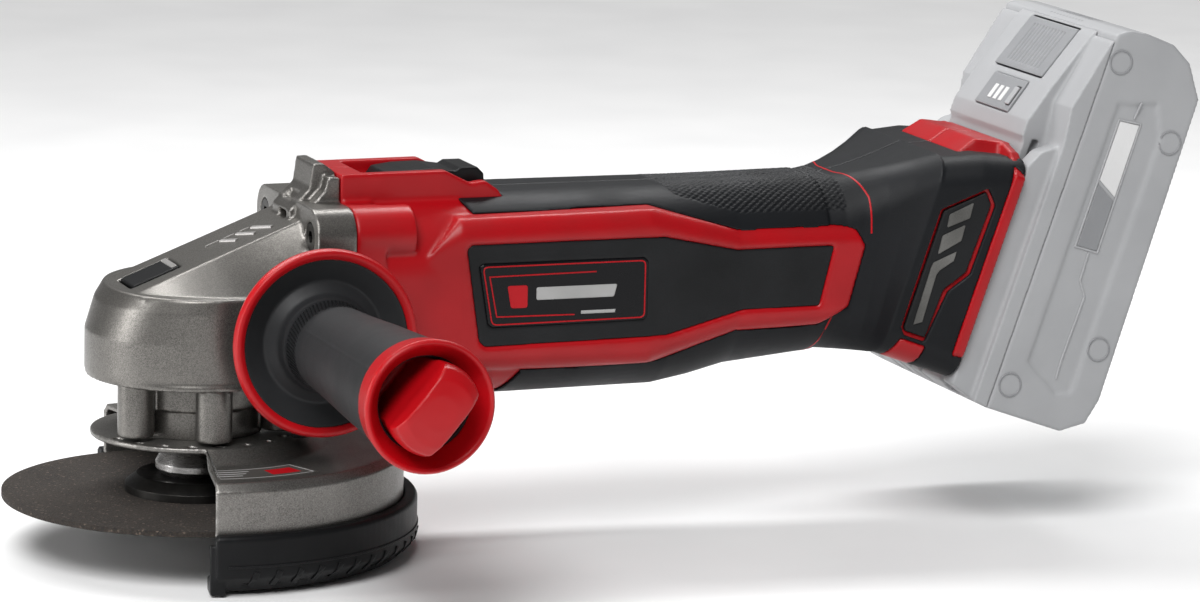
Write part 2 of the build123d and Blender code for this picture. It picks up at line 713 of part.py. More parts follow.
# lever that locks the guard's angle, turning on a pin beside the neck
with BuildPart() as guard_lever:
    with BuildSketch(Plane.XY.offset(33.0)):
        with BuildLine():
            Polyline((LEVER_X - 7.0, LEVER_Y - 9.5), (LEVER_X + 4.0, LEVER_Y - 4.5),
                     (LEVER_X + 5.0, LEVER_Y + 4.0), (LEVER_X - 1.0, LEVER_Y + 4.5),
                     (LEVER_X - 10.0, LEVER_Y - 8.0), close=True)
        make_face()
    extrude(amount=4.6)
    add(bar_z(LEVER_X, LEVER_Y, 2.0 + FIT, 20.0, 60.0), mode=Mode.SUBTRACT)
    guard_lever.part.label = "guard_lever"
    export_step(guard_lever.part, "parts/guard_lever.step")

with BuildPart() as lever_pin:
    add(bar_z(LEVER_X, LEVER_Y, 2.0, 32.3, 41.0))
    add(bar_z(LEVER_X, LEVER_Y, 3.4, 32.3, 32.9))
    lever_pin.part.label = "lever_pin"
    export_step(lever_pin.part, "parts/lever_pin.step")

# ---------------------------------------------------------------- side handle group
with BuildPart() as handle_stud:
    add(bar_y(HANDLE_X, HANDLE_Z, STUD_R - FIT, -60.0, -24.0))
    handle_stud.part.label = "handle_stud"
    export_step(handle_stud.part, "parts/handle_stud.step")

with BuildPart() as handle_grip:
    add(handle_spun([
        (STUD_R, -36.0), (11.5, -36.0), (13.5, -37.5), (25.6, -44.6), (25.6, -46.6), (24.4, -46.6),
        (18.0, -43.4), (14.6, -46.0), (13.4, -50.0), (12.9, -57.0), (13.6, -72.0), (15.2, -96.0),
        (16.4, -118.0), (16.9, -131.0), (16.9, -134.4), (12.9, -134.4), (12.9, -108.0),
        (10.0, -104.0), (10.0, -70.0), (STUD_R, -66.0),
    ]))
    handle_grip.part.label = "handle_grip"
    export_step(handle_grip.part, "parts/handle_grip.step")

with BuildPart() as handle_flange_ring:
    add(handle_spun([(25.7, -44.4), (26.6, -43.6), (27.6, -44.4), (27.9, -46.0), (27.3, -47.8),
                     (26.2, -48.0), (24.8, -47.2), (24.6, -46.7), (25.7, -46.7)]))
    handle_flange_ring.part.label = "handle_flange_ring"
    export_step(handle_flange_ring.part, "parts/handle_flange_ring.step")

with BuildPart() as handle_end_ring:
    add(handle_spun([(17.0, -130.6), (17.6, -130.0), (18.6, -137.6), (18.9, -139.8), (18.2, -140.8),
                     (17.2, -140.4), (15.6, -138.2), (13.9, -135.6), (13.3, -134.5), (17.0, -134.5)]))
    handle_end_ring.part.label = "handle_end_ring"
    export_step(handle_end_ring.part, "parts/handle_end_ring.step")

# twist cap that closes the hollow of the grip: a plug with a thick domed fin
FIN_HALF = 6.6
with BuildPart() as storage_cap:
    add(handle_spun([(0, -109.0), (12.5, -109.0), (12.5, -122.0), (0, -122.0)]))
    with BuildPart(mode=Mode.PRIVATE) as fin:
        add(handle_spun([(0, -120.0), (12.5, -120.0), (12.5, -136.2), (13.2, -139.0), (13.4, -143.0),
                         (12.4, -146.6), (9.6, -148.6), (5.0, -149.4), (0, -149.6)]))
        with BuildSketch(Plane(origin=(HANDLE_X, -119.0, HANDLE_Z), x_dir=(0.643, 0, 0.766),
                               z_dir=(0, -1, 0))):
            Rectangle(60.0, 2 * FIN_HALF)
        extrude(amount=40.0, mode=Mode.INTERSECT)
    add(fin.part)
    storage_cap.part.label = "storage_cap"
    export_step(storage_cap.part, "parts/storage_cap.step")

# ---------------------------------------------------------------- motor
SHAFT_R = 4.0
with BuildPart() as motor_shaft:
    add(bar_x(0, MOTOR_Z, 3.0, 12.6, 27.6))
    add(bar_x(0, MOTOR_Z, SHAFT_R, 27.6, 139.0))
    motor_shaft.part.label = "motor_shaft"
    export_step(motor_shaft.part, "parts/motor_shaft.step")

with BuildPart() as pinion:
    outer_r = root_radius(PINION_CONE, CONE)
    inner_r = root_radius(PINION_CONE, INNER)
    outer_x = root_height(PINION_CONE, CONE)
    inner_x = root_height(PINION_CONE, INNER)
    with BuildSketch(side_plane()):
        with BuildLine():
            Polyline((inner_x, MOTOR_Z + 3.0 + FIT), (inner_x, MOTOR_Z + inner_r),
                     (outer_x, MOTOR_Z + outer_r), (24.0, MOTOR_Z + outer_r),
                     (24.0, MOTOR_Z + 3.0 + FIT), close=True)
        make_face()
    revolve(axis=Axis((0, 0, MOTOR_Z), (1, 0, 0)))
    for i in range(PINION_TEETH):
        turn = 2 * pi * (i + 0.5) / PINION_TEETH - pi / 2
        add(tooth(PINION_CONE, turn, False))
    add(bar_x(0, MOTOR_Z, 3.0 + FIT, 0, 40), mode=Mode.SUBTRACT)
    pinion.part.label = "pinion"
    export_step(pinion.part, "parts/pinion.step")

with BuildPart() as front_bearing:
    add(ring_x(10.98, SHAFT_R + FIT, 28.0, 35.0))
    front_bearing.part.label = "front_bearing"
    export_step(front_bearing.part, "parts/front_bearing.step")

with BuildPart() as rear_bearing:
    add(ring_x(9.4, SHAFT_R + FIT, 132.0, 138.0))
    rear_bearing.part.label = "rear_bearing"
    export_step(rear_bearing.part, "parts/rear_bearing.step")

FAN_BLADES = 9
with BuildPart() as cooling_fan:
    with BuildSketch(x_plane(50.0, MOTOR_Z)):
        Circle(21.5)
        Circle(SHAFT_R + FIT, mode=Mode.SUBTRACT)
    extrude(amount=1.8)
    with BuildSketch(x_plane(43.0, MOTOR_Z)):
        Circle(7.0)
        Circle(SHAFT_R + FIT, mode=Mode.SUBTRACT)
    extrude(amount=7.5)
    with BuildSketch(x_plane(43.0, MOTOR_Z)):
        with PolarLocations(14.0, FAN_BLADES):
            Rectangle(14.4, 1.5)
    extrude(amount=7.5)
    cooling_fan.part.label = "cooling_fan"
    export_step(cooling_fan.part, "parts/cooling_fan.step")

with BuildPart() as motor_can:
    add(ring_x(CAN_R, CAN_R - 1.6, 60.0, 124.0))
    add(ring_x(CAN_R - 1.6, 12.0, 60.0, 61.6))
    motor_can.part.label = "motor_can"
    export_step(motor_can.part, "parts/motor_can.step")

with BuildPart() as magnets:
    with BuildSketch(x_plane(68.0, MOTOR_Z)):
        Circle(CAN_R - 1.65)
        Circle(CAN_R - 5.7, mode=Mode.SUBTRACT)
        Rectangle(60, 14, mode=Mode.SUBTRACT)
    extrude(amount=44.0)
    magnets.part.label = "magnets"
    export_step(magnets.part, "parts/magnets.step")

SLOTS = 12
with BuildPart() as armature_core:
    with BuildSketch(x_plane(70.0, MOTOR_Z)):
        Circle(17.9)
        Circle(SHAFT_R + FIT, mode=Mode.SUBTRACT)
        with PolarLocations(13.4, SLOTS):
            SlotOverall(7.6, 3.6, mode=Mode.SUBTRACT)
    extrude(amount=40.0)
    armature_core.part.label = "armature_core"
    export_step(armature_core.part, "parts/armature_core.step")

with BuildPart() as windings:
    for start, end in ((64.6, 69.95), (110.05, 115.4)):
        with BuildSketch(x_plane(start, MOTOR_Z)):
            Circle(16.4)
            Circle(SHAFT_R + 2.4, mode=Mode.SUBTRACT)
        extrude(amount=end - start)
    with BuildSketch(x_plane(69.9, MOTOR_Z)):
        with PolarLocations(13.4, SLOTS):
            SlotOverall(6.9, 2.9)
    extrude(amount=40.2)
    windings.part.label = "windings"
    export_step(windings.part, "parts/windings.step")

with BuildPart() as commutator:
    with BuildSketch(x_plane(117.0, MOTOR_Z)):
        Circle(9.5)
        Circle(SHAFT_R + FIT, mode=Mode.SUBTRACT)
        with PolarLocations(9.3, SLOTS):
            Rectangle(1.2, 0.5, mode=Mode.SUBTRACT)
    extrude(amount=11.0)
    commutator.part.label = "commutator"
    export_step(commutator.part, "parts/commutator.step")

with BuildPart() as brush_plate:
    add(ring_x(CAN_R - 0.2, 11.6, 126.2, 129.0))
    add(ring_x(12.4, 9.45, 128.0, 137.9))
    for side in (-1, 1):
        with BuildSketch(x_plane(119.4, MOTOR_Z)):
            with Locations((side * 16.2, 5.2), (side * 16.2, -5.2)):
                Rectangle(10.0, 3.0)
        extrude(amount=7.0)
    brush_plate.part.label = "brush_plate"
    export_step(brush_plate.part, "parts/brush_plate.step")

with BuildPart() as brushes:
    for side in (-1, 1):
        with BuildSketch(x_plane(119.4, MOTOR_Z)):
            with Locations((side * 14.2, 0)):
                Rectangle(8.8, 7.0)
        extrude(amount=6.6)
    with BuildSketch(x_plane(110.0, MOTOR_Z)):
        Circle(9.6)
    extrude(amount=30.0, mode=Mode.SUBTRACT)
    brushes.part.label = "brushes"
    export_step(brushes.part, "parts/brushes.step")

# ---------------------------------------------------------------- motor housing and grip
SCREW_SPOTS = ((147.0, 55.0), (174.0, 93.0), (184.0, 58.0), (206.0, 57.5))


def red_outer():
    with BuildPart(mode=Mode.PRIVATE) as outer:
        add(barrel_form(RUBBER))
        add(neck_form(RUBBER))
        add(foot_form(RUBBER))
        with BuildPart(mode=Mode.PRIVATE) as front:
            add(barrel_form(0.0))
            add(prism(RED_FRONT, -60, 60), mode=Mode.INTERSECT)
        add(front.part)
        add(front_form())
        add(pad_form(0.0))
        add(rail_form())
        add(cap_form())
        add(rim_form())
        add(foot_red_block(0.0))
    return outer.part


def foot_red_block(grow):
    """Red block below each inset panel, flush with the rubber around it."""
    with BuildPart(mode=Mode.PRIVATE) as block:
        add(foot_form(0.0))
        add(prism([(-24.4 - grow, -40.0), (-13.4 + grow, -40.0), (-13.4 + grow, -25.0 + grow),
                   (-21.6 - grow, -25.0 + grow)], 26.0 - grow, 60.0, foot_side_plane), mode=Mode.INTERSECT)
    with BuildPart(mode=Mode.PRIVATE) as pair:
        add(block.part)
        mirror(block.part, about=Plane.XZ)
    return pair.part


def hollow():
    with BuildPart(mode=Mode.PRIVATE) as inner:
        add(barrel_form(WALL))
        add(neck_form(WALL))
        add(foot_form(WALL))
        add(prism([(FOOT_REAR - 3.2, -100), (FOOT_REAR - 3.2, 100), (-400, 100), (-400, -100)],
                  -60, 60, foot_side_plane), mode=Mode.INTERSECT)
        add(bar_x(0, MOTOR_Z, 24.0, 39.0, 60.0))
    return inner.part


cavity = hollow()
outer_shape = red_outer()
half_space = {"left": -1, "right": 1}

with BuildPart() as shell_both:
    add(outer_shape)
    add(cavity, mode=Mode.SUBTRACT)
    # bores of the long gear screws
    for y in (-EAR_Y, EAR_Y):
        for z in (EAR_LOW, EAR_HIGH):
            add(bar_x(y, z, 2.1, 39.0, 57.0), mode=Mode.SUBTRACT)
    # slot through the roof of the switch channel for the slider's stem
    add(prism([(52.4, 96.0), (68.6, 96.0), (68.6, 106.0), (52.4, 106.0)], -3.0, 3.0), mode=Mode.SUBTRACT)
    # bosses of the housing screws
    for x, z in SCREW_SPOTS:
        with BuildPart(mode=Mode.PRIVATE) as boss:
            add(bar_y(x, z, 4.0, -20.0, 20.0))
            add(outer_shape, mode=Mode.INTERSECT)
        add(boss.part)
        add(bar_y(x, z, 1.7, -14.0, 20.0), mode=Mode.SUBTRACT)
        add(bar_y(x, z, 3.4, 17.4, 50.0), mode=Mode.SUBTRACT)
    # pockets of the side panels and foot inserts
    for side in (-1, 1):
        low, high = sorted((side * 23.5, side * 50.0))
        with BuildPart(mode=Mode.PRIVATE) as pocket:
            add(prism(PANEL_OUTLINE, low, high))
            add(pad_form(1.6), mode=Mode.SUBTRACT)
        add(pocket.part, mode=Mode.SUBTRACT)
        low, high = sorted((side * 30.0, side * 50.0))
        with BuildPart(mode=Mode.PRIVATE) as nest:
            add(prism(insert_outline(0.0), low, high, foot_side_plane))
            add(foot_form(2.6), mode=Mode.SUBTRACT)
        add(nest.part, mode=Mode.SUBTRACT)
    # window of the terminal block
    with BuildSketch(foot_plane(-5.0, 2.0)):
        Rectangle(44.0, 34.0)
    extrude(amount=6.0, mode=Mode.SUBTRACT)

for name, side in half_space.items():
    with BuildPart() as housing:
        add(shell_both.part)
        split(bisect_by=Plane.XZ, keep=Keep.TOP if side < 0 else Keep.BOTTOM)
        housing.part.label = f"housing_{name}"
        export_step(housing.part, f"parts/housing_{name}.step")

with BuildPart() as rubber_both:
    add(barrel_form(-RUBBER_PROUD))
    add(neck_form(0.0))
    add(foot_form(0.0))
    add(prism(RED_FRONT, -60, 60), mode=Mode.SUBTRACT)
    add(outer_shape, mode=Mode.SUBTRACT)
    add(cavity, mode=Mode.SUBTRACT)
    add(foot_red_block(SEAM), mode=Mode.SUBTRACT)
    for side in (-1, 1):
        low, high = sorted((side * 30.0, side * 50.0))
        add(prism(insert_outline(1.1), low, high, foot_side_plane), mode=Mode.SUBTRACT)
    with BuildSketch(foot_plane(-5.0, 2.0)):
        Rectangle(44.0, 34.0)
    extrude(amount=6.0, mode=Mode.SUBTRACT)
    for x, z in SCREW_SPOTS:
        add(bar_y(x, z, 3.6, 17.4, 50.0), mode=Mode.SUBTRACT)

for name, side in half_space.items():
    with BuildPart() as overmould:
        add(rubber_both.part)
        split(bisect_by=Plane.XZ, keep=Keep.TOP if side < 0 else Keep.BOTTOM)
        overmould.part.label = f"overmould_{name}"
        export_step(overmould.part, f"parts/overmould_{name}.step")

# ---------------------------------------------------------------- trim of the tool body
for name, side in half_space.items():
    low, high = sorted((side * 23.6, side * 50.0))
    shrink = 0.15
    with BuildPart() as side_panel:
        add(pad_form(0.5))
        add(pad_form(1.55), mode=Mode.SUBTRACT)
        with BuildPart(mode=Mode.PRIVATE) as inside:
            with BuildSketch(side_plane(high)):
                with BuildLine():
                    Polyline(*PANEL_OUTLINE, close=True)
                make_face()
                offset(amount=-shrink, kind=Kind.INTERSECTION)
            extrude(amount=high - low)
        add(inside.part, mode=Mode.INTERSECT)
        add(prism(LABEL_OUTLINE, *sorted((side * 30.0, side * 50.0))), mode=Mode.SUBTRACT)
        side_panel.part.label = f"side_panel_{name}"
        export_step(side_panel.part, f"parts/side_panel_{name}.step")

with BuildPart() as label_plates:
    for side in (-1, 1):
        low, high = sorted((side * 30.02, side * 50.0))
        with BuildPart(mode=Mode.PRIVATE) as plate:
            with BuildSketch(side_plane(high)):
                with BuildLine():
                    Polyline(*LABEL_OUTLINE, close=True)
                make_face()
                offset(amount=-0.12, kind=Kind.INTERSECTION)
            extrude(amount=high - low)
            add(pad_form(0.35), mode=Mode.INTERSECT)
        add(plate.part)
    label_plates.part.label = "label_plates"
    export_step(label_plates.part, "parts/label_plates.step")

with BuildPart() as foot_inserts:
    for side in (-1, 1):
        low, high = sorted((side * 31.0, side * 50.0))
        with BuildPart(mode=Mode.PRIVATE) as insert:
            with BuildSketch(foot_side_plane(high)):
                with BuildLine():
                    Polyline(*insert_outline(0.0), close=True)
                make_face()
                offset(amount=-0.15, kind=Kind.INTERSECTION)
            extrude(amount=high - low)
            add(foot_form(0.8), mode=Mode.INTERSECT)
            add(foot_form(2.55), mode=Mode.SUBTRACT)
        add(insert.part)
    foot_inserts.part.label = "foot_inserts"
    export_step(foot_inserts.part, "parts/foot_inserts.step")

with BuildPart() as housing_screws:
    for x, z in SCREW_SPOTS:
        add(bar_y(x, z, 3.2, 17.45, 20.0))
        add(bar_y(x, z, 1.65, -12.0, 17.45))
    housing_screws.part.label = "housing_screws"
    export_step(housing_screws.part, "parts/housing_screws.step")

# ---------------------------------------------------------------- switch and electrics
with BuildPart() as switch_slider:
    add(prism([(54.0, 104.9), (56.0, 107.6), (62.0, 108.4), (70.0, 108.6), (77.0, 107.6), (78.6, 108.6),
               (84.0, 108.6), (86.0, 106.6), (86.2, 103.2), (70.0, 104.2)], -8.6, 8.6))
    add(prism([(59.0, 96.8), (68.0, 96.8), (68.0, 105.2), (59.0, 105.2)], -2.6, 2.6))
    switch_slider.part.label = "switch_slider"
    export_step(switch_slider.part, "parts/switch_slider.step")

with BuildPart() as switch_link:
    add(prism([(60.0, 95.3), (139.0, 95.3), (156.0, 86.2), (158.0, 86.2), (158.0, 88.0), (140.0, 96.7),
               (60.0, 96.7)], -1.8, 1.8))
    switch_link.part.label = "switch_link"
    export_step(switch_link.part, "parts/switch_link.step")

with BuildPart() as switch_module:
    with BuildSketch(Plane.XY.offset(64.0)):
        with Locations((170.0, 0)):
            Rectangle(30.0, 17.0)
    extrude(amount=18.0)
    with BuildSketch(Plane.XY.offset(82.0)):
        with Locations((162.0, 0)):
            Rectangle(8.0, 8.0)
    extrude(amount=3.0)
    switch_module.part.label = "switch_module"
    export_step(switch_module.part, "parts/switch_module.step")

with BuildPart() as control_board:
    with BuildSketch(Plane.XY.offset(64.0)):
        with Locations((206.0, 0)):
            Rectangle(30.0, 34.0)
    extrude(amount=1.6)
    for x, y, size, tall in ((200.0, -8.0, 8.0, 10.0), (200.0, 8.0, 8.0, 10.0), (214.0, 0.0, 6.0, 3.0)):
        with BuildSketch(Plane.XY.offset(65.6)):
            with Locations((x, y)):
                Rectangle(size, size)
        extrude(amount=tall)
    control_board.part.label = "control_board"
    export_step(control_board.part, "parts/control_board.step")

BLADES_Y = (-12.0, -4.0, 4.0, 12.0)
with BuildPart() as terminal_block:
    with BuildSketch(foot_plane(-4.9, 2.0)):
        Rectangle(43.7, 33.7)
    extrude(amount=3.9)
    for y in BLADES_Y:
        add(prism([(-10.0, -9.0), (10.0, -9.0), (10.0, 9.0), (-10.0, 9.0)], y - 0.4, y + 0.4,
                  foot_side_plane), mode=Mode.SUBTRACT)
    terminal_block.part.label = "terminal_block"
    export_step(terminal_block.part, "parts/terminal_block.step")

with BuildPart() as contact_blades:
    for y in BLADES_Y:
        add(prism([(-9.0, -9.0), (6.0, -9.0), (6.0, 9.0), (-9.0, 9.0)], y - 0.4, y + 0.4,
                  foot_side_plane))
    contact_blades.part.label = "contact_blades"
    export_step(contact_blades.part, "parts/contact_blades.step")

RAIL_OUT = 30.0
with BuildPart() as battery_rails:
    for side in (-1, 1):
        add(prism([(FOOT_REAR, -29.0), (5.2, -29.0), (5.2, 38.0), (FOOT_REAR, 38.0)],
                  *sorted((side * 27.4, side * RAIL_OUT)), foot_side_plane))
        add(prism([(3.2, -29.0), (5.2, -29.0), (5.2, 38.0), (3.2, 38.0)],
                  *sorted((side * 24.8, side * 27.5)), foot_side_plane))
    battery_rails.part.label = "battery_rails"
    export_step(battery_rails.part, "parts/battery_rails.step")

# ---------------------------------------------------------------- battery, drawn as (d, s)
SPLIT_D = 12.0
PACK_REAR = 48.0
PACK_LOW = -37.0
PACK_HALF = 40.0
NOSE_HALF = 27.0


def pack_prism(outline, half):
    return prism(outline, -half, half, foot_side_plane)


LATCH_OUTLINE = ((3.5, 64.0), (10.3, 81.6), (15.6, 81.6), (15.6, 64.0))
GAUGE_OUTLINE = ((-1.15, 50.6), (2.45, 61.4), (4.0, 60.9), (0.4, 50.1))
with BuildPart() as battery_lid:
    add(pack_prism([(0.2, -34.0), (0.2, 43.2), (-0.8, 45.2), (-0.8, 50.0), (3.1, 62.0), (10.3, 81.0),
                    (SPLIT_D, 83.4), (SPLIT_D, PACK_LOW), (6.0, -36.0)], NOSE_HALF))
    add(pack_prism([(7.0, -36.2), (7.0, 47.0), (5.4, 58.0), (10.8, 80.0), (SPLIT_D, 82.6),
                    (SPLIT_D, PACK_LOW)], PACK_HALF))
    # shoulders that close against the foot, outside the rails
    for side in (-1, 1):
        add(prism([(-0.6, -33.5), (-0.6, 37.0), (2.0, 42.0), (7.5, 46.0), (7.5, -36.0)],
                  *sorted((side * (RAIL_OUT + GAP), side * 37.5)), foot_side_plane))
    add(pack_prism([(2.4, -31.0), (2.4, 42.0), (6.6, 58.5), (SPLIT_D, 59.0), (SPLIT_D, -34.6)], 24.0),
        mode=Mode.SUBTRACT)
    add(pack_prism([(8.4, -34.6), (8.4, 58.6), (SPLIT_D, 59.0), (SPLIT_D, -34.6)], 36.6),
        mode=Mode.SUBTRACT)
    add(pack_prism([(-3.4, 63.6), (1.6, 82.0), (18.6, 82.0), (18.6, 63.6)], 17.3), mode=Mode.SUBTRACT)
    add(pack_prism([(-4.29, 51.49), (-0.61, 62.51), (4.09, 60.99), (0.41, 49.97)], 12.2),
        mode=Mode.SUBTRACT)
    for y in BLADES_Y:
        add(prism([(-2.0, -40.0), (9.0, -40.0), (9.0, 12.0), (-2.0, 12.0)], y - 1.0, y + 1.0,
                  foot_side_plane), mode=Mode.SUBTRACT)
    # grooves that ride on the foot's rails
    for side in (-1, 1):
        add(prism([(3.0, -40.0), (5.4, -40.0), (5.4, 45.0), (3.0, 45.0)],
                  *sorted((side * 24.6, side * 28.0)), foot_side_plane), mode=Mode.SUBTRACT)
    battery_lid.part.label = "battery_lid"
    export_step(battery_lid.part, "parts/battery_lid.step")

with BuildPart() as battery_case:
    add(pack_prism([(SPLIT_D, PACK_LOW), (SPLIT_D, 83.4), (15.4, 85.8), (22.0, 86.9), (31.7, 86.4),
                    (39.0, 82.6), (46.0, 73.0), (PACK_REAR, -24.0), (46.0, -32.3), (38.6, PACK_LOW)], PACK_HALF))
    add(pack_prism([(10.0, -35.0), (45.2, -34.8), (45.2, 61.0), (10.0, 61.0)], 37.6), mode=Mode.SUBTRACT)
    add(pack_prism([(22.8, 63.4), (42.5, 63.4), (42.5, 72.0), (36.6, 80.0), (30.6, 83.2), (22.8, 83.2)],
                   37.0), mode=Mode.SUBTRACT)
    add(pack_prism([(10.0, 63.6), (10.0, 82.0), (20.2, 82.0), (20.2, 63.6)], 17.3), mode=Mode.SUBTRACT)
    # shallow recess on each side for the rating panel
    for side in (-1, 1):
        add(prism([(20.0, -20.0), (33.0, -27.0), (38.0, -25.0), (38.0, 58.0), (33.0, 68.0), (20.0, 64.0)],
                  *sorted((side * (PACK_HALF - 0.8), side * 50.0)), foot_side_plane), mode=Mode.SUBTRACT)
    battery_case.part.label = "battery_case"
    export_step(battery_case.part, "parts/battery_case.step")

with BuildPart() as battery_cells:
    for row in (17.7, 35.9):
        for i in range(5):
            with BuildSketch(foot_side_plane(32.5)):
                with Locations((row, -25.2 + 18.6 * i)):
                    Circle(9.05)
            extrude(amount=65.0)
    battery_cells.part.label = "battery_cells"
    export_step(battery_cells.part, "parts/battery_cells.step")

with BuildPart() as battery_board:
    add(pack_prism([(6.8, -28.0), (8.2, -28.0), (8.2, 56.0), (6.8, 56.0)], 22.0))
    battery_board.part.label = "battery_board"
    export_step(battery_board.part, "parts/battery_board.step")

with BuildPart() as battery_latch:
    add(pack_prism(LATCH_OUTLINE, 17.0))
    for i in range(11):
        y = 2.2 * (i - 5)
        add(prism([(3.3, 66.0), (4.87, 66.0), (10.07, 79.5), (8.0, 79.5)], y - 0.45, y + 0.45,
                  foot_side_plane), mode=Mode.SUBTRACT)
    battery_latch.part.label = "battery_latch"
    export_step(battery_latch.part, "parts/battery_latch.step")

with BuildPart() as gauge_panel:
    add(pack_prism(GAUGE_OUTLINE, 12.0))
    add(prism([(-6.0, 52.4), (-6.0, 59.0), (6.0, 59.0), (6.0, 52.4)], -10.9, -7.7, foot_side_plane),
        mode=Mode.SUBTRACT)
    gauge_panel.part.label = "gauge_panel"
    export_step(gauge_panel.part, "parts/gauge_panel.step")

with BuildPart() as gauge_key:
    add(pack_prism(((-1.8, 50.6), (1.8, 61.4), (2.6, 61.2), (-1.0, 50.4)), 12.0))
    add(prism([(-6.0, 52.7), (-6.0, 58.7), (6.0, 58.7), (6.0, 52.7)], -10.6, -8.0, foot_side_plane),
        mode=Mode.INTERSECT)
    gauge_key.part.label = "gauge_key"
    export_step(gauge_key.part, "parts/gauge_key.step")
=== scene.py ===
"""Looks of the cordless angle grinder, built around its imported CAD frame."""

import json
import math

import bmesh
import bpy
import numpy as np
from mathutils import Matrix, Vector
from mathutils.bvhtree import BVHTree
from mathutils.kdtree import KDTree


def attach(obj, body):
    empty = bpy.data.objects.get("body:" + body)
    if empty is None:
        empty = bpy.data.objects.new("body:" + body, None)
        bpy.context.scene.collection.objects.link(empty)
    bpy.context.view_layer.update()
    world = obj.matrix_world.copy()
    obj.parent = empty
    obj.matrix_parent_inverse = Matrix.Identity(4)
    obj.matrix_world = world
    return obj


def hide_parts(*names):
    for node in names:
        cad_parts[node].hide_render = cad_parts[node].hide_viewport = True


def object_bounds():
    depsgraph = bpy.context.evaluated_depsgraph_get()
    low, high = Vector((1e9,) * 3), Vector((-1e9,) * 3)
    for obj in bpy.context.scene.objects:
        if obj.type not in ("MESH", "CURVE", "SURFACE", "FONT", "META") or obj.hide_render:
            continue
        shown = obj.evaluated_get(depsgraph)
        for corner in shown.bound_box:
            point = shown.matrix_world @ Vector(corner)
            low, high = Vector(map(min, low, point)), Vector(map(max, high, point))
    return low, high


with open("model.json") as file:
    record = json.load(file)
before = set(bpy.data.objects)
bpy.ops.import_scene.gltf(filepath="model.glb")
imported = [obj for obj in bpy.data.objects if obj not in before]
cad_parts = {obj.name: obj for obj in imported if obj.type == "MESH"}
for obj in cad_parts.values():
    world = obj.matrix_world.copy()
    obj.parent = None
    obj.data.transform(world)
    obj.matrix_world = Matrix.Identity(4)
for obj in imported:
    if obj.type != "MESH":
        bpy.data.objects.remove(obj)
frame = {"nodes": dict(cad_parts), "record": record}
cad_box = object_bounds()

MM = 0.001
MOULDED_EDGE = 0.45
GRIP_AXIS_Z = 76.0
SEAM_RADIUS = 25.0
HANDLE_X, HANDLE_Z = 25.2, 64.85
NECK_RADIUS = 13.0
COVER_RADIUS = 66.0
CLEAR_OF_SIDE = 90.0
CLEAR_OF_TOP = 200.0
LEAN = math.radians(19.0)
FOOT = Vector((0.240, 0.0, 0.0725))
UP_FOOT = Vector((math.sin(LEAN), 0.0, math.cos(LEAN)))
OUT_FOOT = Vector((math.cos(LEAN), 0.0, -math.sin(LEAN)))
body_of_node = {}
for body, nodes in frame["record"]["behaviour"]["bodies"].items():
    for node in nodes:
        body_of_node[node] = body


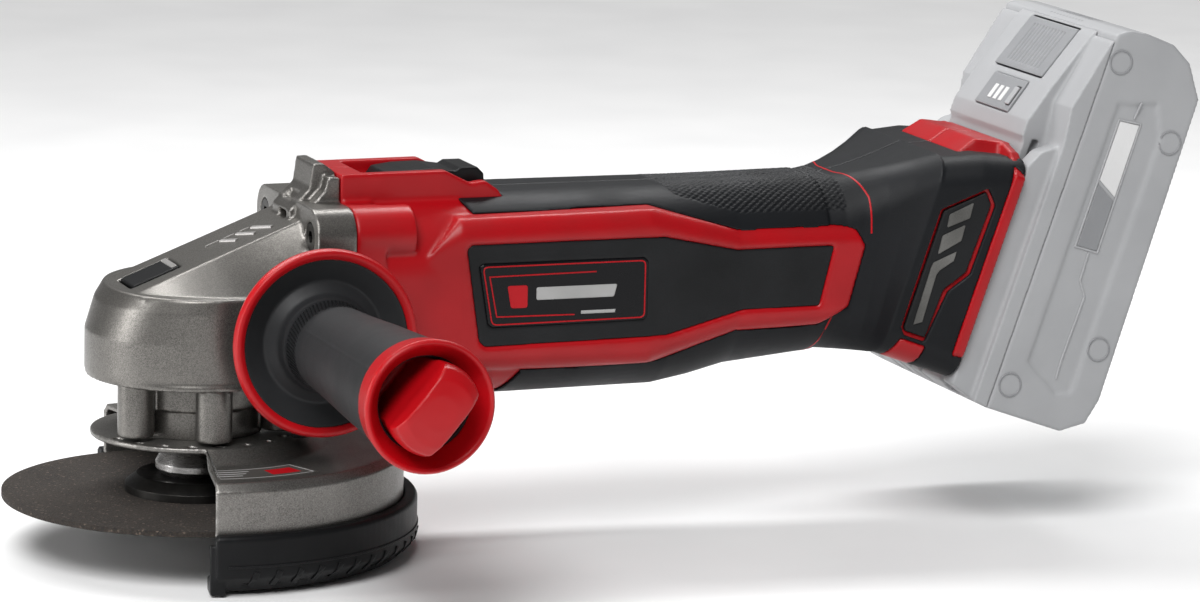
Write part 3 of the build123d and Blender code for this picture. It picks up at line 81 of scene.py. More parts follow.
# ---------------------------------------------------------------- shader helpers
class Shade:
    """A material's nodes, with short calls for the usual patterns. Lengths are in millimetres."""

    def __init__(self, name, **sockets):
        self.mat = bpy.data.materials.new(name)
        self.mat.use_nodes = True
        self.tree = self.mat.node_tree
        self.bsdf = self.tree.nodes["Principled BSDF"]
        self.coord = self.node("ShaderNodeTexCoord").outputs["Object"]
        for key, value in sockets.items():
            self.bsdf.inputs[key.replace("_", " ")].default_value = value

    def node(self, kind, **settings):
        made = self.tree.nodes.new(kind)
        for key, value in settings.items():
            setattr(made, key, value)
        return made

    def link(self, start, end):
        self.tree.links.new(start, end)

    def put(self, socket, value):
        if isinstance(value, bpy.types.NodeSocket):
            self.link(value, socket)
        else:
            socket.default_value = value

    def math(self, kind, first, second=0.0, third=None):
        made = self.node("ShaderNodeMath", operation=kind)
        self.put(made.inputs[0], first)
        self.put(made.inputs[1], second)
        if third is not None:
            self.put(made.inputs[2], third)
        return made.outputs[0]

    def noise(self, size, detail=3.0, rough=0.55, stretch=None):
        """Noise with features of that size."""
        made = self.node("ShaderNodeTexNoise")
        made.inputs["Scale"].default_value = 1.0 / (size * MM)
        made.inputs["Detail"].default_value = detail
        made.inputs["Roughness"].default_value = rough
        self.link(self.mapped(stretch), made.inputs["Vector"])
        return made.outputs[0]

    def cells(self, size, output="Distance"):
        made = self.node("ShaderNodeTexVoronoi")
        made.inputs["Scale"].default_value = 1.0 / (size * MM)
        self.link(self.coord, made.inputs["Vector"])
        return made.outputs[output]

    def mapped(self, stretch):
        if stretch is None:
            return self.coord
        made = self.node("ShaderNodeMapping")
        made.inputs["Scale"].default_value = stretch
        self.link(self.coord, made.inputs["Vector"])
        return made.outputs["Vector"]

    def ramp(self, value, low, high, out_low=0.0, out_high=1.0):
        made = self.node("ShaderNodeMapRange")
        made.clamp = True
        self.put(made.inputs["Value"], value)
        made.inputs["From Min"].default_value = low
        made.inputs["From Max"].default_value = high
        self.put(made.inputs["To Min"], out_low)
        self.put(made.inputs["To Max"], out_high)
        return made.outputs[0]

    def mix(self, share, first, second):
        made = self.node("ShaderNodeMix", data_type="RGBA")
        self.put(made.inputs[0], share)
        self.put(made.inputs[6], first if isinstance(first, bpy.types.NodeSocket) else (*first, 1.0))
        self.put(made.inputs[7], second if isinstance(second, bpy.types.NodeSocket) else (*second, 1.0))
        return made.outputs[2]

    def edges(self, radius):
        """1 along convex and concave edges within that radius, 0 on open faces."""
        soft = self.node("ShaderNodeBevel", samples=4)
        soft.inputs["Radius"].default_value = radius * MM
        sharp = self.node("ShaderNodeNewGeometry").outputs["Normal"]
        dot = self.node("ShaderNodeVectorMath", operation="DOT_PRODUCT")
        self.link(soft.outputs[0], dot.inputs[0])
        self.link(sharp, dot.inputs[1])
        return self.ramp(dot.outputs["Value"], 0.99, 0.90)

    def bump(self, height, distance, normal=None):
        made = self.node("ShaderNodeBump")
        made.inputs["Distance"].default_value = distance * MM
        self.put(made.inputs["Height"], height)
        if normal is not None:
            self.link(normal, made.inputs["Normal"])
        return made.outputs[0]

    def soft_normal(self, radius):
        made = self.node("ShaderNodeBevel", samples=4)
        made.inputs["Radius"].default_value = radius * MM
        return made.outputs[0]

    def done(self, colour, rough, normal=None):
        self.link(colour, self.bsdf.inputs["Base Color"])
        self.link(rough, self.bsdf.inputs["Roughness"])
        if normal is not None:
            self.link(normal, self.bsdf.inputs["Normal"])
        return self.mat


def flake_paint(name, dark, light, highlight_and_wear, edge_radius=1.0):
    """Satin metallic paint with fine flakes, and a painted highlight along the edges that also stands for
    slight wear.
    """
    s = Shade(name, Metallic=0.82, IOR=1.5)
    flakes = s.cells(0.2, output="Color")
    grey = s.node("ShaderNodeSeparateColor")
    s.link(flakes, grey.inputs[0])
    sparkle = s.ramp(grey.outputs[0], 0.0, 1.0)
    clouds = s.ramp(s.noise(14.0, 4.0), 0.3, 0.7)
    base = s.mix(sparkle, dark, light)
    base = s.mix(s.math("MULTIPLY", clouds, 0.35), base, light)
    # Painted highlight along the edges, broken up by noise; it also stands for slight wear of the paint.
    rim = s.math("MULTIPLY", s.edges(edge_radius), s.ramp(s.noise(2.2, 5.0, 0.7), 0.4, 0.62))
    colour = s.mix(s.math("MULTIPLY", rim, 0.75), base, highlight_and_wear)
    rough = s.ramp(s.math("ADD", s.math("MULTIPLY", clouds, 0.5), s.math("MULTIPLY", sparkle, 0.5)),
                   0.0, 1.0, 0.42, 0.30)
    normal = s.bump(s.noise(0.45, 2.0), 0.02, s.soft_normal(edge_radius * 0.5))
    return s.done(colour, rough, normal)


def moulded_plastic(name, colour, shade, rough=(0.36, 0.5), grain=0.28, depth=0.03, edge_highlight=None,
                    gloss=0.24):
    """Injection-moulded plastic with a fine spark-eroded grain."""
    s = Shade(name, IOR=1.5, Specular_IOR_Level=gloss)
    clouds = s.ramp(s.noise(22.0, 3.0), 0.3, 0.7)
    fine = s.noise(grain, 3.0, 0.6)
    base = s.mix(clouds, colour, shade)
    base = s.mix(s.ramp(fine, 0.35, 0.7, 0.0, 0.25), base, shade)
    if edge_highlight is not None:
        # Painted highlight: a lighter colour mixed in along the edges, broken up by noise.
        rim = s.math("MULTIPLY", s.edges(MOULDED_EDGE), s.ramp(s.noise(1.5, 4.0, 0.7), 0.35, 0.65, 0.2, 0.8))
        base = s.mix(rim, base, edge_highlight)
    roughness = s.ramp(s.math("ADD", s.math("MULTIPLY", clouds, 0.6), s.math("MULTIPLY", fine, 0.4)),
                       0.2, 0.8, rough[0], rough[1])
    normal = s.bump(fine, depth, s.soft_normal(MOULDED_EDGE))
    return s.done(base, roughness, normal)


def turned_metal(name, colour, shade, rough=(0.22, 0.36), stretch=(1.0, 1.0, 30.0)):
    """Bare machined steel with fine tool marks round or along it."""
    s = Shade(name, Metallic=1.0)
    marks = s.noise(2.0, 4.0, 0.6, stretch)
    stains = s.ramp(s.noise(6.0, 4.0), 0.35, 0.7)
    base = s.mix(stains, colour, shade)
    roughness = s.ramp(marks, 0.3, 0.7, rough[0], rough[1])
    return s.done(base, roughness, s.bump(marks, 0.012, s.soft_normal(0.25)))


GUN = flake_paint("gunmetal_flake", (0.085, 0.081, 0.075), (0.22, 0.21, 0.195), (0.75, 0.73, 0.70))
GUARD = flake_paint("guard_flake", (0.11, 0.105, 0.098), (0.27, 0.26, 0.245), (0.8, 0.78, 0.75))
# The lighter edge colours given below are painted highlights along the edges.
RED = moulded_plastic("red_satin", (0.41, 0.0022, 0.0065), (0.32, 0.0018, 0.0046), (0.30, 0.42),
                      edge_highlight=(0.66, 0.02, 0.025), gloss=0.36)
RED_TRIM = moulded_plastic("red_trim", (0.46, 0.0026, 0.0065), (0.37, 0.0022, 0.0055), (0.27, 0.38),
                           edge_highlight=(0.70, 0.03, 0.035), gloss=0.36)
BLACK = moulded_plastic("black_satin", (0.007, 0.0073, 0.008), (0.004, 0.0042, 0.0047), (0.32, 0.46),
                        edge_highlight=(0.03, 0.03, 0.032), gloss=0.20)
GRIP = moulded_plastic("handle_black", (0.022, 0.0225, 0.024), (0.014, 0.0145, 0.0155), (0.42, 0.58), 0.35,
                       0.05, edge_highlight=(0.06, 0.06, 0.063))
RUBBER = moulded_plastic("soft_rubber", (0.0085, 0.0095, 0.0115), (0.005, 0.0056, 0.0068), (0.42, 0.56), 0.4,
                         0.05, gloss=0.20, edge_highlight=(0.045, 0.047, 0.052))
PANEL = moulded_plastic("panel_black", (0.011, 0.0117, 0.013), (0.007, 0.0075, 0.0082), (0.4, 0.56), 0.5,
                        0.06, edge_highlight=(0.04, 0.042, 0.046))
GLOSS = moulded_plastic("gloss_black", (0.004, 0.004, 0.005), (0.006, 0.006, 0.007), (0.16, 0.24), 0.6,
                        0.006, gloss=0.2)
PALE = moulded_plastic("pale_case", (0.385, 0.39, 0.40), (0.35, 0.355, 0.365), (0.38, 0.5),
                       edge_highlight=(0.70, 0.70, 0.71))
PALE_DARK = moulded_plastic("pale_insert", (0.27, 0.275, 0.285), (0.235, 0.24, 0.25), (0.42, 0.56), 0.4,
                            0.05, edge_highlight=(0.52, 0.52, 0.53))
STEEL = turned_metal("turned_steel", (0.62, 0.61, 0.60), (0.48, 0.47, 0.46))
DARK_STEEL = turned_metal("black_oxide", (0.055, 0.053, 0.050), (0.030, 0.029, 0.028), (0.34, 0.5))
COPPER = turned_metal("enamelled_copper", (0.62, 0.25, 0.10), (0.42, 0.16, 0.07), (0.28, 0.4),
                      (8.0, 1.0, 1.0))
BRASS = turned_metal("plated_contact", (0.72, 0.55, 0.26), (0.60, 0.45, 0.20))
IRON = turned_metal("laminated_iron", (0.20, 0.20, 0.21), (0.13, 0.13, 0.14), (0.4, 0.55), (30.0, 1.0, 1.0))
GREEN = moulded_plastic("board_green", (0.012, 0.14, 0.045), (0.01, 0.09, 0.03), (0.25, 0.4), 1.2, 0.02)
SLEEVE = moulded_plastic("cell_sleeve", (0.05, 0.22, 0.30), (0.04, 0.16, 0.24), (0.2, 0.32), 2.0, 0.02)
FELT = moulded_plastic("felt_ring", (0.30, 0.28, 0.25), (0.20, 0.19, 0.17), (0.85, 0.95), 0.25, 0.12)
CARBON = moulded_plastic("pressed_carbon", (0.035, 0.035, 0.036), (0.02, 0.02, 0.02), (0.5, 0.65), 0.3, 0.05)


def abrasive():
    """Resin-bonded grit: coarse dark brown grains with pale and rusty specks."""
    s = Shade("bonded_abrasive", IOR=1.5)
    grains = s.cells(0.6, output="Color")
    split = s.node("ShaderNodeSeparateColor")
    s.link(grains, split.inputs[0])
    body = s.mix(s.ramp(s.noise(0.7, 4.0, 0.7), 0.3, 0.7), (0.010, 0.0078, 0.0062), (0.036, 0.027, 0.021))
    body = s.mix(s.ramp(split.outputs[0], 0.95, 0.98), body, (0.11, 0.085, 0.066))
    body = s.mix(s.ramp(split.outputs[1], 0.86, 0.90), body, (0.012, 0.010, 0.009))
    body = s.mix(s.ramp(s.noise(18.0, 3.0), 0.35, 0.75, 0.0, 0.3), body, (0.05, 0.039, 0.031))
    height = s.math("ADD", s.cells(0.6), s.noise(0.4, 3.0, 0.7))
    return s.done(body, s.ramp(height, 0.3, 1.3, 0.75, 0.95), s.bump(height, 0.22))


ABRASIVE = abrasive()
SILVER = moulded_plastic("silver_print", (0.46, 0.46, 0.455), (0.36, 0.36, 0.355), (0.3, 0.42), 0.3, 0.02)
RED_LINE = moulded_plastic("red_print", (0.50, 0.006, 0.012), (0.40, 0.005, 0.010), (0.3, 0.4), 0.3, 0.01)
GREY_TILE = moulded_plastic("grey_texture", (0.16, 0.158, 0.150), (0.065, 0.064, 0.060), (0.45, 0.65), 0.5,
                            0.16)
GREY_PLATE = moulded_plastic("grey_plate", (0.085, 0.08, 0.074), (0.065, 0.061, 0.056), (0.3, 0.42), 0.5,
                             0.01)
WHITE = moulded_plastic("white_bar", (0.72, 0.72, 0.72), (0.66, 0.66, 0.66), (0.3, 0.4), 0.4, 0.01)
CAST_BAR = flake_paint("bare_cast", (0.42, 0.41, 0.395), (0.60, 0.585, 0.57), (0.7, 0.69, 0.67), 0.3)

LOOKS = {
    "gear_housing": GUN, "bearing_cap": GUN, "guard_shell": GUARD,
    "cap_screws": DARK_STEEL, "gear_screws": DARK_STEEL, "housing_screws": DARK_STEEL,
    "spindle_bearing": STEEL, "spindle_bush": STEEL, "spindle_seal": FELT, "spindle": STEEL,
    "crown_gear": STEEL, "inner_flange": DARK_STEEL, "flange_nut": STEEL, "grinding_disc": ABRASIVE,
    "lever_pin": STEEL, "lock_pin": STEEL, "handle_stud": STEEL, "motor_shaft": STEEL,
    "pinion": STEEL, "front_bearing": STEEL, "rear_bearing": STEEL, "motor_can": STEEL,
    "magnets": IRON, "armature_core": IRON, "windings": COPPER, "commutator": COPPER,
    "brushes": CARBON, "brush_plate": BLACK, "cooling_fan": BLACK, "switch_module": BLACK,
    "terminal_block": BLACK, "control_board": GREEN, "battery_board": GREEN, "contact_blades": BRASS,
    "battery_rails": BLACK, "battery_cells": SLEEVE, "housing_left": RED, "housing_right": RED,
    "overmould_left": RUBBER, "overmould_right": RUBBER, "side_panel_left": PANEL,
    "side_panel_right": PANEL, "label_plates": GLOSS, "foot_inserts": PANEL,
    "switch_slider": BLACK, "switch_link": BLACK, "lock_button": BLACK, "guard_lever": BLACK,
    "cut_cover": BLACK, "handle_grip": GRIP, "handle_flange_ring": RED_TRIM,
    "handle_end_ring": RED_TRIM, "storage_cap": RED_TRIM, "battery_lid": PALE, "battery_case": PALE,
    "battery_latch": PALE_DARK, "gauge_panel": PALE_DARK, "gauge_key": PALE,
}
for node, look in LOOKS.items():
    mesh = frame["nodes"][node].data
    if not mesh.materials:
        mesh.materials.append(look)
    for index in range(len(frame["nodes"][node].material_slots)):
        frame["nodes"][node].material_slots[index].link = "OBJECT"
        frame["nodes"][node].material_slots[index].material = look


# ---------------------------------------------------------------- mesh helpers
def joined(node):
    """A closed bmesh of that CAD node, with split vertices merged."""
    bm = bmesh.new()
    bm.from_mesh(frame["nodes"][node].data)
    bmesh.ops.remove_doubles(bm, verts=bm.verts, dist=2e-7)
    return bm


def to_object(bm, name):
    mesh = bpy.data.meshes.new(name)
    bm.to_mesh(mesh)
    bm.free()
    made = bpy.data.objects.new(name, mesh)
    bpy.context.collection.objects.link(made)
    return made


def baked(made):
    """Applies the object's modifiers to its mesh."""
    graph = bpy.context.evaluated_depsgraph_get()
    mesh = bpy.data.meshes.new_from_object(made.evaluated_get(graph), depsgraph=graph)
    made.modifiers.clear()
    made.data = mesh


def shift_vertices(made, shape):
    """Moves the vertices by what shape(points, normals) gives, all in millimetres."""
    mesh = made.data
    count = len(mesh.vertices)
    points = np.empty(count * 3)
    mesh.vertices.foreach_get("co", points)
    points = points.reshape(-1, 3) / MM
    normals = np.empty(count * 3)
    mesh.vertex_normals.foreach_get("vector", normals)
    normals = normals.reshape(-1, 3)
    points = points + shape(points, normals)
    mesh.vertices.foreach_set("co", (points * MM).ravel())
    mesh.update()


def finish_piece(made, body, look, slot, *replaced):
    made.data.materials.clear()
    made.data.materials.append(look)
    for polygon in made.data.polygons:
        polygon.use_smooth = True
    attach(made, body)
    if replaced:
        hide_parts(*replaced)


def moulded(node, voxel, passes, shape, keep):
    """A soft-edged copy of a CAD node: remeshed, smoothed, given surface relief and thinned."""
    made = to_object(joined(node), node + "_skin")
    cut = made.modifiers.new("remesh", "REMESH")
    cut.mode = "VOXEL"
    cut.voxel_size = voxel * MM
    soft = made.modifiers.new("smooth", "SMOOTH")
    soft.factor = 0.5
    soft.iterations = passes
    baked(made)
    if shape is not None:
        shift_vertices(made, shape)
    thin = made.modifiers.new("thin", "DECIMATE")
    thin.ratio = keep
    baked(made)
    finish_piece(made, body_of_node[node], LOOKS[node], SLOTS[node], node)


def relief_of_grip(points, normals):
    """Small raised lozenges on the rear top of the grip, with a smooth border."""
    x, y, z = points.T
    outward = (normals[:, 1] * y + normals[:, 2] * (z - GRIP_AXIS_Z)) / np.hypot(y, z - GRIP_AXIS_Z)
    floor = np.interp(x, (141.0, 164.0, 200.0), (100.0, 93.8, 93.6))
    inner = np.minimum.reduce((x - (143.5 - 0.9 * (z - 100.0)), 198.6 - x, z - floor))
    mask = np.clip(inner / 0.5, 0.0, 1.0) * np.clip(outward * 3.0, 0.0, 1.0)
    along = x / 2.5
    around = np.arctan2(y, z - GRIP_AXIS_Z) * 29.0 / 2.0
    first = np.abs((along + around) % 1.0 - 0.5)
    second = np.abs((along - around) % 1.0 - 0.5)
    height = np.clip((0.5 - np.maximum(first, second)) / 0.22, 0.0, 1.0)
    return normals * (mask * (0.5 * height - 0.42))[:, None]


def relief_of_handle(points, normals):
    """Parting line along the grip and a shallow step at the end of its hatched band."""
    x, y, z = points[:, 0] - HANDLE_X, points[:, 1], points[:, 2] - HANDLE_Z
    outward = (normals[:, 0] * x + normals[:, 2] * z) / np.maximum(np.hypot(x, z), 0.1)
    across = np.abs(x * 0.54 + z * 0.84)
    line = np.exp(-((across / 0.28) ** 2)) * (y < -47.0) * (y > -129.5)
    band = np.clip((y + 56.5) / 0.5, 0.0, 1.0) * np.clip((-48.5 - y) / 0.5, 0.0, 1.0)
    return normals * ((0.16 * line - 0.22 * band) * np.clip(outward * 3.0, 0.0, 1.0))[:, None]


RELIEF = {"overmould_left": relief_of_grip, "overmould_right": relief_of_grip,
          "handle_grip": relief_of_handle}

SLOTS = {row["node"]: row["material_slot"] for row in frame["record"]["subparts"]}

# ---------------------------------------------------------------- soft-edged copies of the CAD nodes
for node, voxel, passes, keep in (
    ("gear_housing", 0.45, 4, 0.5), ("bearing_cap", 0.45, 4, 0.5), ("guard_shell", 0.45, 3, 0.5),
    ("cut_cover", 0.5, 3, 0.5), ("housing_left", 0.6, 4, 0.4), ("housing_right", 0.6, 4, 0.4),
    ("overmould_left", 0.42, 3, 0.45), ("overmould_right", 0.42, 3, 0.45),
    ("side_panel_left", 0.35, 3, 0.4), ("side_panel_right", 0.35, 3, 0.4),
    ("label_plates", 0.3, 3, 0.4), ("foot_inserts", 0.35, 3, 0.5),
    ("handle_grip", 0.45, 4, 0.6), ("handle_flange_ring", 0.3, 4, 0.5),
    ("handle_end_ring", 0.3, 4, 0.5), ("storage_cap", 0.4, 6, 0.5),
    ("switch_slider", 0.3, 4, 0.6), ("lock_button", 0.25, 4, 0.6), ("guard_lever", 0.25, 4, 0.6),
    ("battery_lid", 0.5, 4, 0.4), ("battery_case", 0.6, 4, 0.4), ("battery_latch", 0.3, 3, 0.6),
    ("gauge_panel", 0.25, 3, 0.6), ("gauge_key", 0.2, 3, 0.6),
):
    scale = 1.0
    moulded(node, voxel * scale, passes, RELIEF.get(node), keep)


# ---------------------------------------------------------------- thin raised pieces laid on the surfaces
def rounded(points, radius, steps=4):
    """The polygon with its corners rounded."""
    out = []
    for index, point in enumerate(points):
        here = Vector(point)
        before = Vector(points[index - 1]) - here
        after = Vector(points[(index + 1) % len(points)]) - here
        reach = min(radius, before.length / 2.2, after.length / 2.2)
        first = here + before.normalized() * reach
        last = here + after.normalized() * reach
        for step in range(steps + 1):
            t = step / steps
            out.append(tuple(first.lerp(here, t).lerp(here.lerp(last, t), t)))
    return out


def area_of(points):
    return points, [tuple(range(len(points)))]


def line_of(points, width, closed=False):
    """A flat band of that width along a path."""
    path = [Vector(point) for point in points]
    verts = []
    faces = []
    count = len(path)
    for index, here in enumerate(path):
        before = path[index - 1] if index or closed else here
        after = path[(index + 1) % count] if index + 1 < count or closed else here
        sides = []
        for start, end in ((before, here), (here, after)):
            run = end - start
            if run.length > 1e-9:
                sides.append(Vector((-run.y, run.x)).normalized())
        side = sum(sides, Vector((0.0, 0.0))).normalized()
        grow = width / 2 / max(0.4, side.dot(sides[0]))
        verts += [tuple(here + side * grow), tuple(here - side * grow)]
    for index in range(count if closed else count - 1):
        following = (index + 1) % count
        faces.append((2 * index, 2 * following, 2 * following + 1, 2 * index + 1))
    return verts, faces


def place_side(side):
    """u is x, v is z: laid on from the left (-1) or right (1)."""
    return lambda u, v: (Vector((u, side * CLEAR_OF_SIDE, v)), Vector((0.0, -side, 0.0)))


def place_foot_side(side):
    """u is s, up along the foot, v is d, rearwards."""
    def place(u, v):
        point = FOOT / MM + UP_FOOT * u + OUT_FOOT * v
        return Vector((point.x, side * CLEAR_OF_SIDE, point.z)), Vector((0.0, -side, 0.0))
    return place


def place_front(u, v):
    """u is y, v is s: laid on the battery's front."""
    point = FOOT / MM + UP_FOOT * v - OUT_FOOT * 30.0
    return Vector((point.x, u, point.z)), OUT_FOOT.copy()


def place_crown(u, v):
    """u is y, v is d: laid on the battery's top."""
    point = FOOT / MM + UP_FOOT * 120.0 + OUT_FOOT * v
    return Vector((point.x, u, point.z)), -UP_FOOT


def place_above(u, v):
    """u is x, v is y: laid on from above."""
    return Vector((u, v, CLEAR_OF_TOP)), Vector((0.0, 0.0, -1.0))


def laid_on(name, shapes, place, targets, body, look, slot, lift=0.16, depth=0.5, fine=3.0):
    """Flat shapes dropped onto CAD nodes, each standing that much proud of them."""
    verts = []
    faces = []
    for target in targets:
        mesh = frame["nodes"][target].data
        start = len(verts)
        verts += [vertex.co / MM for vertex in mesh.vertices]
        faces += [tuple(start + index for index in polygon.vertices) for polygon in mesh.polygons]
    tree = BVHTree.FromPolygons(verts, faces)
    bm = bmesh.new()
    for points, polygons in shapes:
        made = [bm.verts.new((u, v, 0.0)) for u, v in points]
        for polygon in polygons:
            bm.faces.new([made[index] for index in polygon])
    bmesh.ops.triangulate(bm, faces=[face for face in bm.faces if len(face.verts) > 4])
    for _ in range(5):
        long_edges = [edge for edge in bm.edges if edge.calc_length() > fine]
        if not long_edges:
            break
        bmesh.ops.subdivide_edges(bm, edges=long_edges, cuts=1, use_grid_fill=True)
    aims = {}
    for vertex in bm.verts:
        start, aim = place(vertex.co.x, vertex.co.y)
        hit = tree.ray_cast(start, aim)[0]
        if hit is None:
            hit = tree.find_nearest(start + aim * 50.0)[0]
        vertex.co = (hit - aim * lift) * MM
        aims[vertex] = aim
    top = list(bm.faces)
    base = bmesh.ops.extrude_face_region(bm, geom=top, use_keep_orig=True)["geom"]
    tops = list(aims)
    near = KDTree(len(tops))
    for index, vertex in enumerate(tops):
        near.insert(vertex.co, index)
    near.balance()
    lower = [item for item in base if isinstance(item, bmesh.types.BMVert)]
    lower_aims = [aims[tops[near.find(vertex.co)[1]]] for vertex in lower]
    for vertex, aim in zip(lower, lower_aims):
        vertex.co += aim * (lift + depth) * MM
    bmesh.ops.recalc_face_normals(bm, faces=bm.faces)
    made = to_object(bm, name)
    finish_piece(made, body, look, slot)
    for polygon in made.data.polygons:
        polygon.use_smooth = False


SIDES = (("left", -1), ("right", 1))
for side_name, side in SIDES:
    laid_on(f"plate_outline_{side_name}", [line_of(rounded(
        ((78.5, 82.3), (129.9, 82.3), (129.9, 65.1), (81.6, 64.8)), 1.6), 0.42, True)],
        place_side(side), ["label_plates"], "root", RED_LINE, "red_plastic")
    laid_on(f"plate_line_{side_name}", [line_of(
        ((114.3, 79.6), (80.6, 79.3), (83.0, 67.2), (107.6, 66.9)), 0.42)],
        place_side(side), ["label_plates"], "root", RED_LINE, "red_plastic")
    laid_on(f"plate_tile_{side_name}", [area_of(rounded(
        ((86.2, 76.4), (92.6, 76.4), (92.6, 69.6), (87.4, 69.6)), 0.8))],
        place_side(side), ["label_plates"], "root", RED_LINE, "red_plastic")
    laid_on(f"plate_bars_{side_name}", [
        area_of(rounded(((95.4, 75.6), (121.0, 75.6), (120.0, 71.8), (95.4, 71.8)), 0.6)),
        area_of(((109.6, 68.0), (120.6, 68.0), (120.4, 67.0), (109.6, 67.0)))],
        place_side(side), ["label_plates"], "root", SILVER, "pale_key")
    laid_on(f"foot_marks_{side_name}", [
        area_of(rounded(((15.4, -19.8), (21.1, -13.9), (16.3, -13.5), (11.4, -19.2)), 0.5)),
        area_of(rounded(((8.6, -19.7), (13.9, -14.1), (9.0, -13.7), (2.8, -19.2)), 0.5)),
        area_of(((0.0, -19.6), (5.3, -14.0), (2.4, -13.9), (-1.7, -17.1), (-3.3, -17.6),
                 (-18.2, -16.9), (-19.8, -19.2), (-2.0, -19.8)))],
        place_foot_side(side), ["foot_inserts"], "root", GREY_TILE, "textured_panel", 0.35, 0.5, 2.0)
laid_on("roof_bars", [line_of(((7.0, 0.4), (10.0, -6.2)), 1.0), line_of(((11.8, 0.2), (15.2, -7.2)), 1.0),
                      line_of(((16.4, 0.0), (20.2, -8.2)), 1.0), line_of(((2.6, 0.9), (6.6, 0.9)), 0.5),
                      line_of(((8.2, 0.8), (11.2, 0.8)), 0.5), line_of(((13.0, 0.7), (15.8, 0.7)), 0.5)],
        place_above, ["gear_housing"], "root", CAST_BAR, "gunmetal", 0.5, 0.6)
laid_on("lock_bar", [area_of(((-9.6, -6.0), (-8.2, -6.0), (-8.2, 6.0), (-9.6, 6.0)))], place_above,
        ["lock_button"], "lock_button", CAST_BAR, "gunmetal", 0.35, 0.5)
laid_on("gauge_bars", [area_of(((y - 1.1, 53.0), (y + 1.1, 53.0), (y + 1.1, 57.8), (y - 1.1, 57.8)))
                       for y in (4.6, 0.8, -3.0)],
        place_front, ["gauge_panel"], "battery", WHITE, "pale_key")


def circle(x, y, radius, count=28):
    return [(x + radius * math.cos(math.tau * k / count), y + radius * math.sin(math.tau * k / count))
            for k in range(count)]


for side_name, side in SIDES:
    lay = place_foot_side(side)
    case = ["battery_case", "battery_lid"]
    laid_on(f"pack_tile_light_{side_name}",
            [area_of(((40.0, 23.0), (59.0, 23.0), (59.6, 29.6), (36.5, 29.8)))],
            lay, case, "battery", WHITE, "pale_key", 0.25, 0.4, 6.0)
    laid_on(f"pack_tile_dark_{side_name}",
            [area_of(((18.9, 23.2), (38.8, 23.0), (35.3, 29.8), (19.2, 30.0)))],
            lay, case, "battery", PALE_DARK, "pale_plastic", 0.2, 0.4, 6.0)
    laid_on(f"pack_lines_{side_name}", [
        line_of(((18.4, 22.6), (59.3, 22.5), (60.2, 30.0), (18.7, 30.5)), 0.5, True),
        line_of(((61.0, 27.3), (66.5, 27.5)), 0.5),
        line_of(((18.0, 27.7), (9.0, 28.1), (4.6, 31.4), (-16.6, 31.1), (-22.0, 31.5)), 0.6)],
        lay, case, "battery", PALE, "pale_plastic", 0.3, 0.5, 6.0)
    laid_on(f"pack_bosses_{side_name}", [line_of(circle(*spot, 3.6), 0.55, True) for spot in
                                         ((76.0, 16.2), (57.7, 41.2), (-9.3, 41.6), (-28.0, 16.8))],
            lay, case, "battery", PALE_DARK, "pale_plastic", 0.22, 0.4, 6.0)
laid_on("pack_grip_ribs", [line_of(((2.2 * k, 13.4), (2.2 * k, 22.6)), 1.1) for k in range(-5, 6)],
        place_crown, ["battery_case", "battery_lid"], "battery", PALE_DARK, "pale_plastic", 0.04, 0.5)


def place_round_grip(u, v):
    """u runs round the grip at 25 mm from its axis, v is x."""
    turn = u / SEAM_RADIUS
    out = Vector((0.0, -math.cos(turn), math.sin(turn)))
    return Vector((v, 0.0, GRIP_AXIS_Z)) + out * 60.0, -out


seam = []
for degrees in range(22, 159, 4):
    from_top = abs(degrees - 90.0)
    bend = min(1.0, max(0.0, (from_top - 14.0) / 34.0))
    seam.append((math.radians(degrees) * SEAM_RADIUS, 200.2 + 4.6 * bend))
laid_on("grip_seam", [line_of(seam, 0.5)], place_round_grip, ["overmould_left", "overmould_right"], "root",
        RED_LINE, "red_plastic", 0.08, 0.5)
low_seam = [(math.radians(degrees) * SEAM_RADIUS, 193.8 - 5.0 * (-degrees - 30.0) / 45.0)
            for degrees in range(-75, -29, 5)]
for name, seam_line in (("near", low_seam), ("far", [(math.pi * SEAM_RADIUS - u, v) for u, v in low_seam])):
    laid_on(f"grip_seam_low_{name}", [line_of(seam_line, 0.5)], place_round_grip,
            ["overmould_left", "overmould_right"], "root", RED_LINE, "red_plastic", 0.08, 0.5)


def arc(radius, start, end, count=14):
    return [(radius * math.cos(math.radians(start + (end - start) * k / (count - 1))),
             radius * math.sin(math.radians(start + (end - start) * k / (count - 1)))) for k in range(count)]


laid_on("guard_plate", [area_of(arc(42.0, -103.0, -66.0) + arc(55.5, -66.0, -103.0))], place_above,
        ["guard_shell"], "guard", GREY_PLATE, "guard_steel", 0.1, 0.3)
laid_on("guard_plate_rim", [line_of(arc(43.2, -101.5, -67.5) + arc(54.3, -67.5, -101.5), 0.35, True)],
        place_above, ["guard_shell"], "guard", SILVER, "guard_steel", 0.16, 0.3)
laid_on("guard_plate_bars", [line_of(arc(45.8 + 2.6 * k, -99.5, -87.0 - 2.0 * k), 0.7) for k in range(3)],
        place_above, ["guard_shell"], "guard", SILVER, "guard_steel", 0.16, 0.3)
laid_on("guard_plate_mark", [area_of(arc(46.0, -81.0, -70.5, 6) + arc(52.0, -70.5, -81.0, 6))],
        place_above, ["guard_shell"], "guard", RED_LINE, "red_plastic", 0.16, 0.3)


def place_round_handle(u, v):
    """u runs round the side handle at 13 mm from its axis, v is y."""
    turn = u / NECK_RADIUS
    out = Vector((math.cos(turn), 0.0, math.sin(turn)))
    return Vector((HANDLE_X, v, HANDLE_Z)) + out * 40.0, -out


laid_on("neck_hatching", [line_of(((1.13 * k, -50.5), (1.13 * k + 1.6, -57.5)), 0.5) for k in range(72)],
        place_round_handle, ["handle_grip"], "side_handle", BLACK, SLOTS["handle_grip"], 0.14, 0.4)


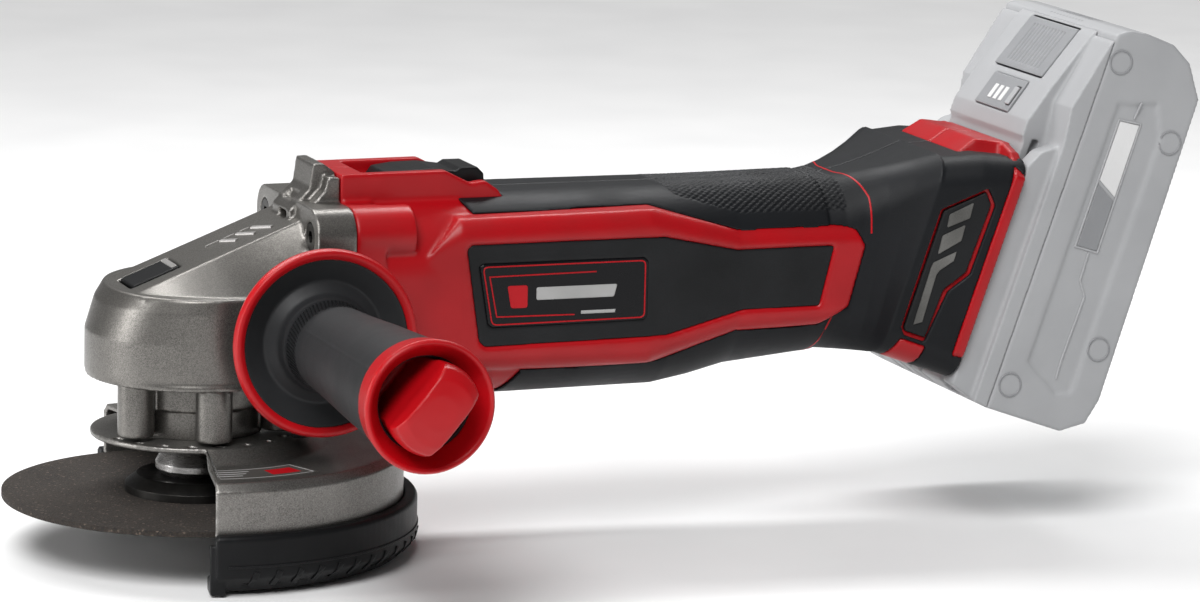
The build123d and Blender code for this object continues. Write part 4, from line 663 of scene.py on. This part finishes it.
def place_round_cover(u, v):
    """u runs round the cut cover's wall, v is height."""
    turn = u / COVER_RADIUS
    out = Vector((math.cos(turn), math.sin(turn), 0.0))
    return out * CLEAR_OF_SIDE + Vector((0.0, 0.0, v)), -out


def along_cover(degrees):
    return math.radians(degrees) * COVER_RADIUS


laid_on("cover_bead", [line_of([(along_cover(d), 4.6) for d in range(-98, 70, 4)], 0.7)], place_round_cover,
        ["cut_cover"], "cut_cover", BLACK, SLOTS["cut_cover"], 0.35, 0.5, 4.0)
laid_on("cover_teeth", [line_of(((along_cover(d), -1.6), (along_cover(d) + 1.5, 3.0)), 1.8)
                        for d in range(-92, 70, 6)], place_round_cover,
        ["cut_cover"], "cut_cover", BLACK, SLOTS["cut_cover"], 0.5, 0.6)


# ---------------------------------------------------------------- floor, light and camera
FLOOR_REACH = 40.0
FLOOR_GAP = 0.0002
WORLD_STRENGTH = 0.14
SUN_STRENGTH = 2.3
SUN_WIDTH = math.radians(35.0)
SUN_DIRECTION = (0.45, 0.55, -1.0)
CAMERA_YAW, CAMERA_PITCH, CAMERA_ROLL = 0.363361, 0.183154, 0.02337
CAMERA_LENS = 160.58
CAMERA_PLACE = (-0.44154, -1.49596, 0.36097)
CENTRE = (0.12, 0.0, 0.08)


def add_floor(height):
    """A wide pale floor just under the part."""
    mesh = bpy.data.meshes.new("floor")
    reach = FLOOR_REACH
    mesh.from_pydata([(-reach, -reach, height), (reach, -reach, height), (reach, reach, height),
                      (-reach, reach, height)], [], [(0, 1, 2, 3)])
    floor = bpy.data.objects.new("floor", mesh)
    bpy.context.collection.objects.link(floor)
    s = Shade("floor_pale")
    grain = s.noise(60.0, 2.0)
    s.done(s.mix(s.ramp(grain, 0.3, 0.7), (0.86, 0.86, 0.862), (0.88, 0.88, 0.88)),
           s.ramp(grain, 0.3, 0.7, 0.6, 0.7))
    mesh.materials.append(s.mat)


def add_light(name, place, target, size, watts, size_y=None):
    data = bpy.data.lights.new(name, "AREA")
    data.shape = "RECTANGLE"
    data.size = size
    data.size_y = size_y or size
    data.energy = watts
    light = bpy.data.objects.new(name, data)
    bpy.context.collection.objects.link(light)
    light.location = place
    light.rotation_euler = (Vector(target) - Vector(place)).to_track_quat("-Z", "Y").to_euler()


def add_camera():
    yaw, pitch, roll = CAMERA_YAW, CAMERA_PITCH, CAMERA_ROLL
    ahead = Vector((math.sin(yaw) * math.cos(pitch), math.cos(yaw) * math.cos(pitch), -math.sin(pitch)))
    level = Vector((math.cos(yaw), -math.sin(yaw), 0.0))
    above = level.cross(ahead)
    right = level * math.cos(roll) + above * math.sin(roll)
    up = above * math.cos(roll) - level * math.sin(roll)
    data = bpy.data.cameras.new("camera")
    data.sensor_width = 36.0
    data.lens = CAMERA_LENS
    data.clip_end = 50.0
    camera = bpy.data.objects.new("camera", data)
    bpy.context.collection.objects.link(camera)
    turn = Matrix((right, up, -ahead)).transposed().to_4x4()
    camera.matrix_world = Matrix.Translation(CAMERA_PLACE) @ turn
    bpy.context.scene.camera = camera


add_floor(cad_box[0][2] - FLOOR_GAP)
world = bpy.data.worlds.new("studio")
bpy.context.scene.world = world
world.use_nodes = True
world.node_tree.nodes["Background"].inputs["Color"].default_value = (1.0, 1.0, 1.0, 1.0)
world.node_tree.nodes["Background"].inputs["Strength"].default_value = WORLD_STRENGTH
sun = bpy.data.lights.new("sun", "SUN")
sun.energy = SUN_STRENGTH
sun.angle = SUN_WIDTH
sun_object = bpy.data.objects.new("sun", sun)
bpy.context.collection.objects.link(sun_object)
sun_object.rotation_euler = Vector(SUN_DIRECTION).to_track_quat("-Z", "Y").to_euler()
add_light("key", (-0.55, -0.8, 0.75), CENTRE, 0.4, 3.0, 0.3)
add_light("strip", (0.15, 0.45, 0.75), CENTRE, 1.2, 7.0, 0.12)
add_light("rim_left", (-0.9, 0.1, 0.25), CENTRE, 0.2, 4.0, 0.6)
add_camera()
bpy.context.scene.view_settings.view_transform = "Standard"
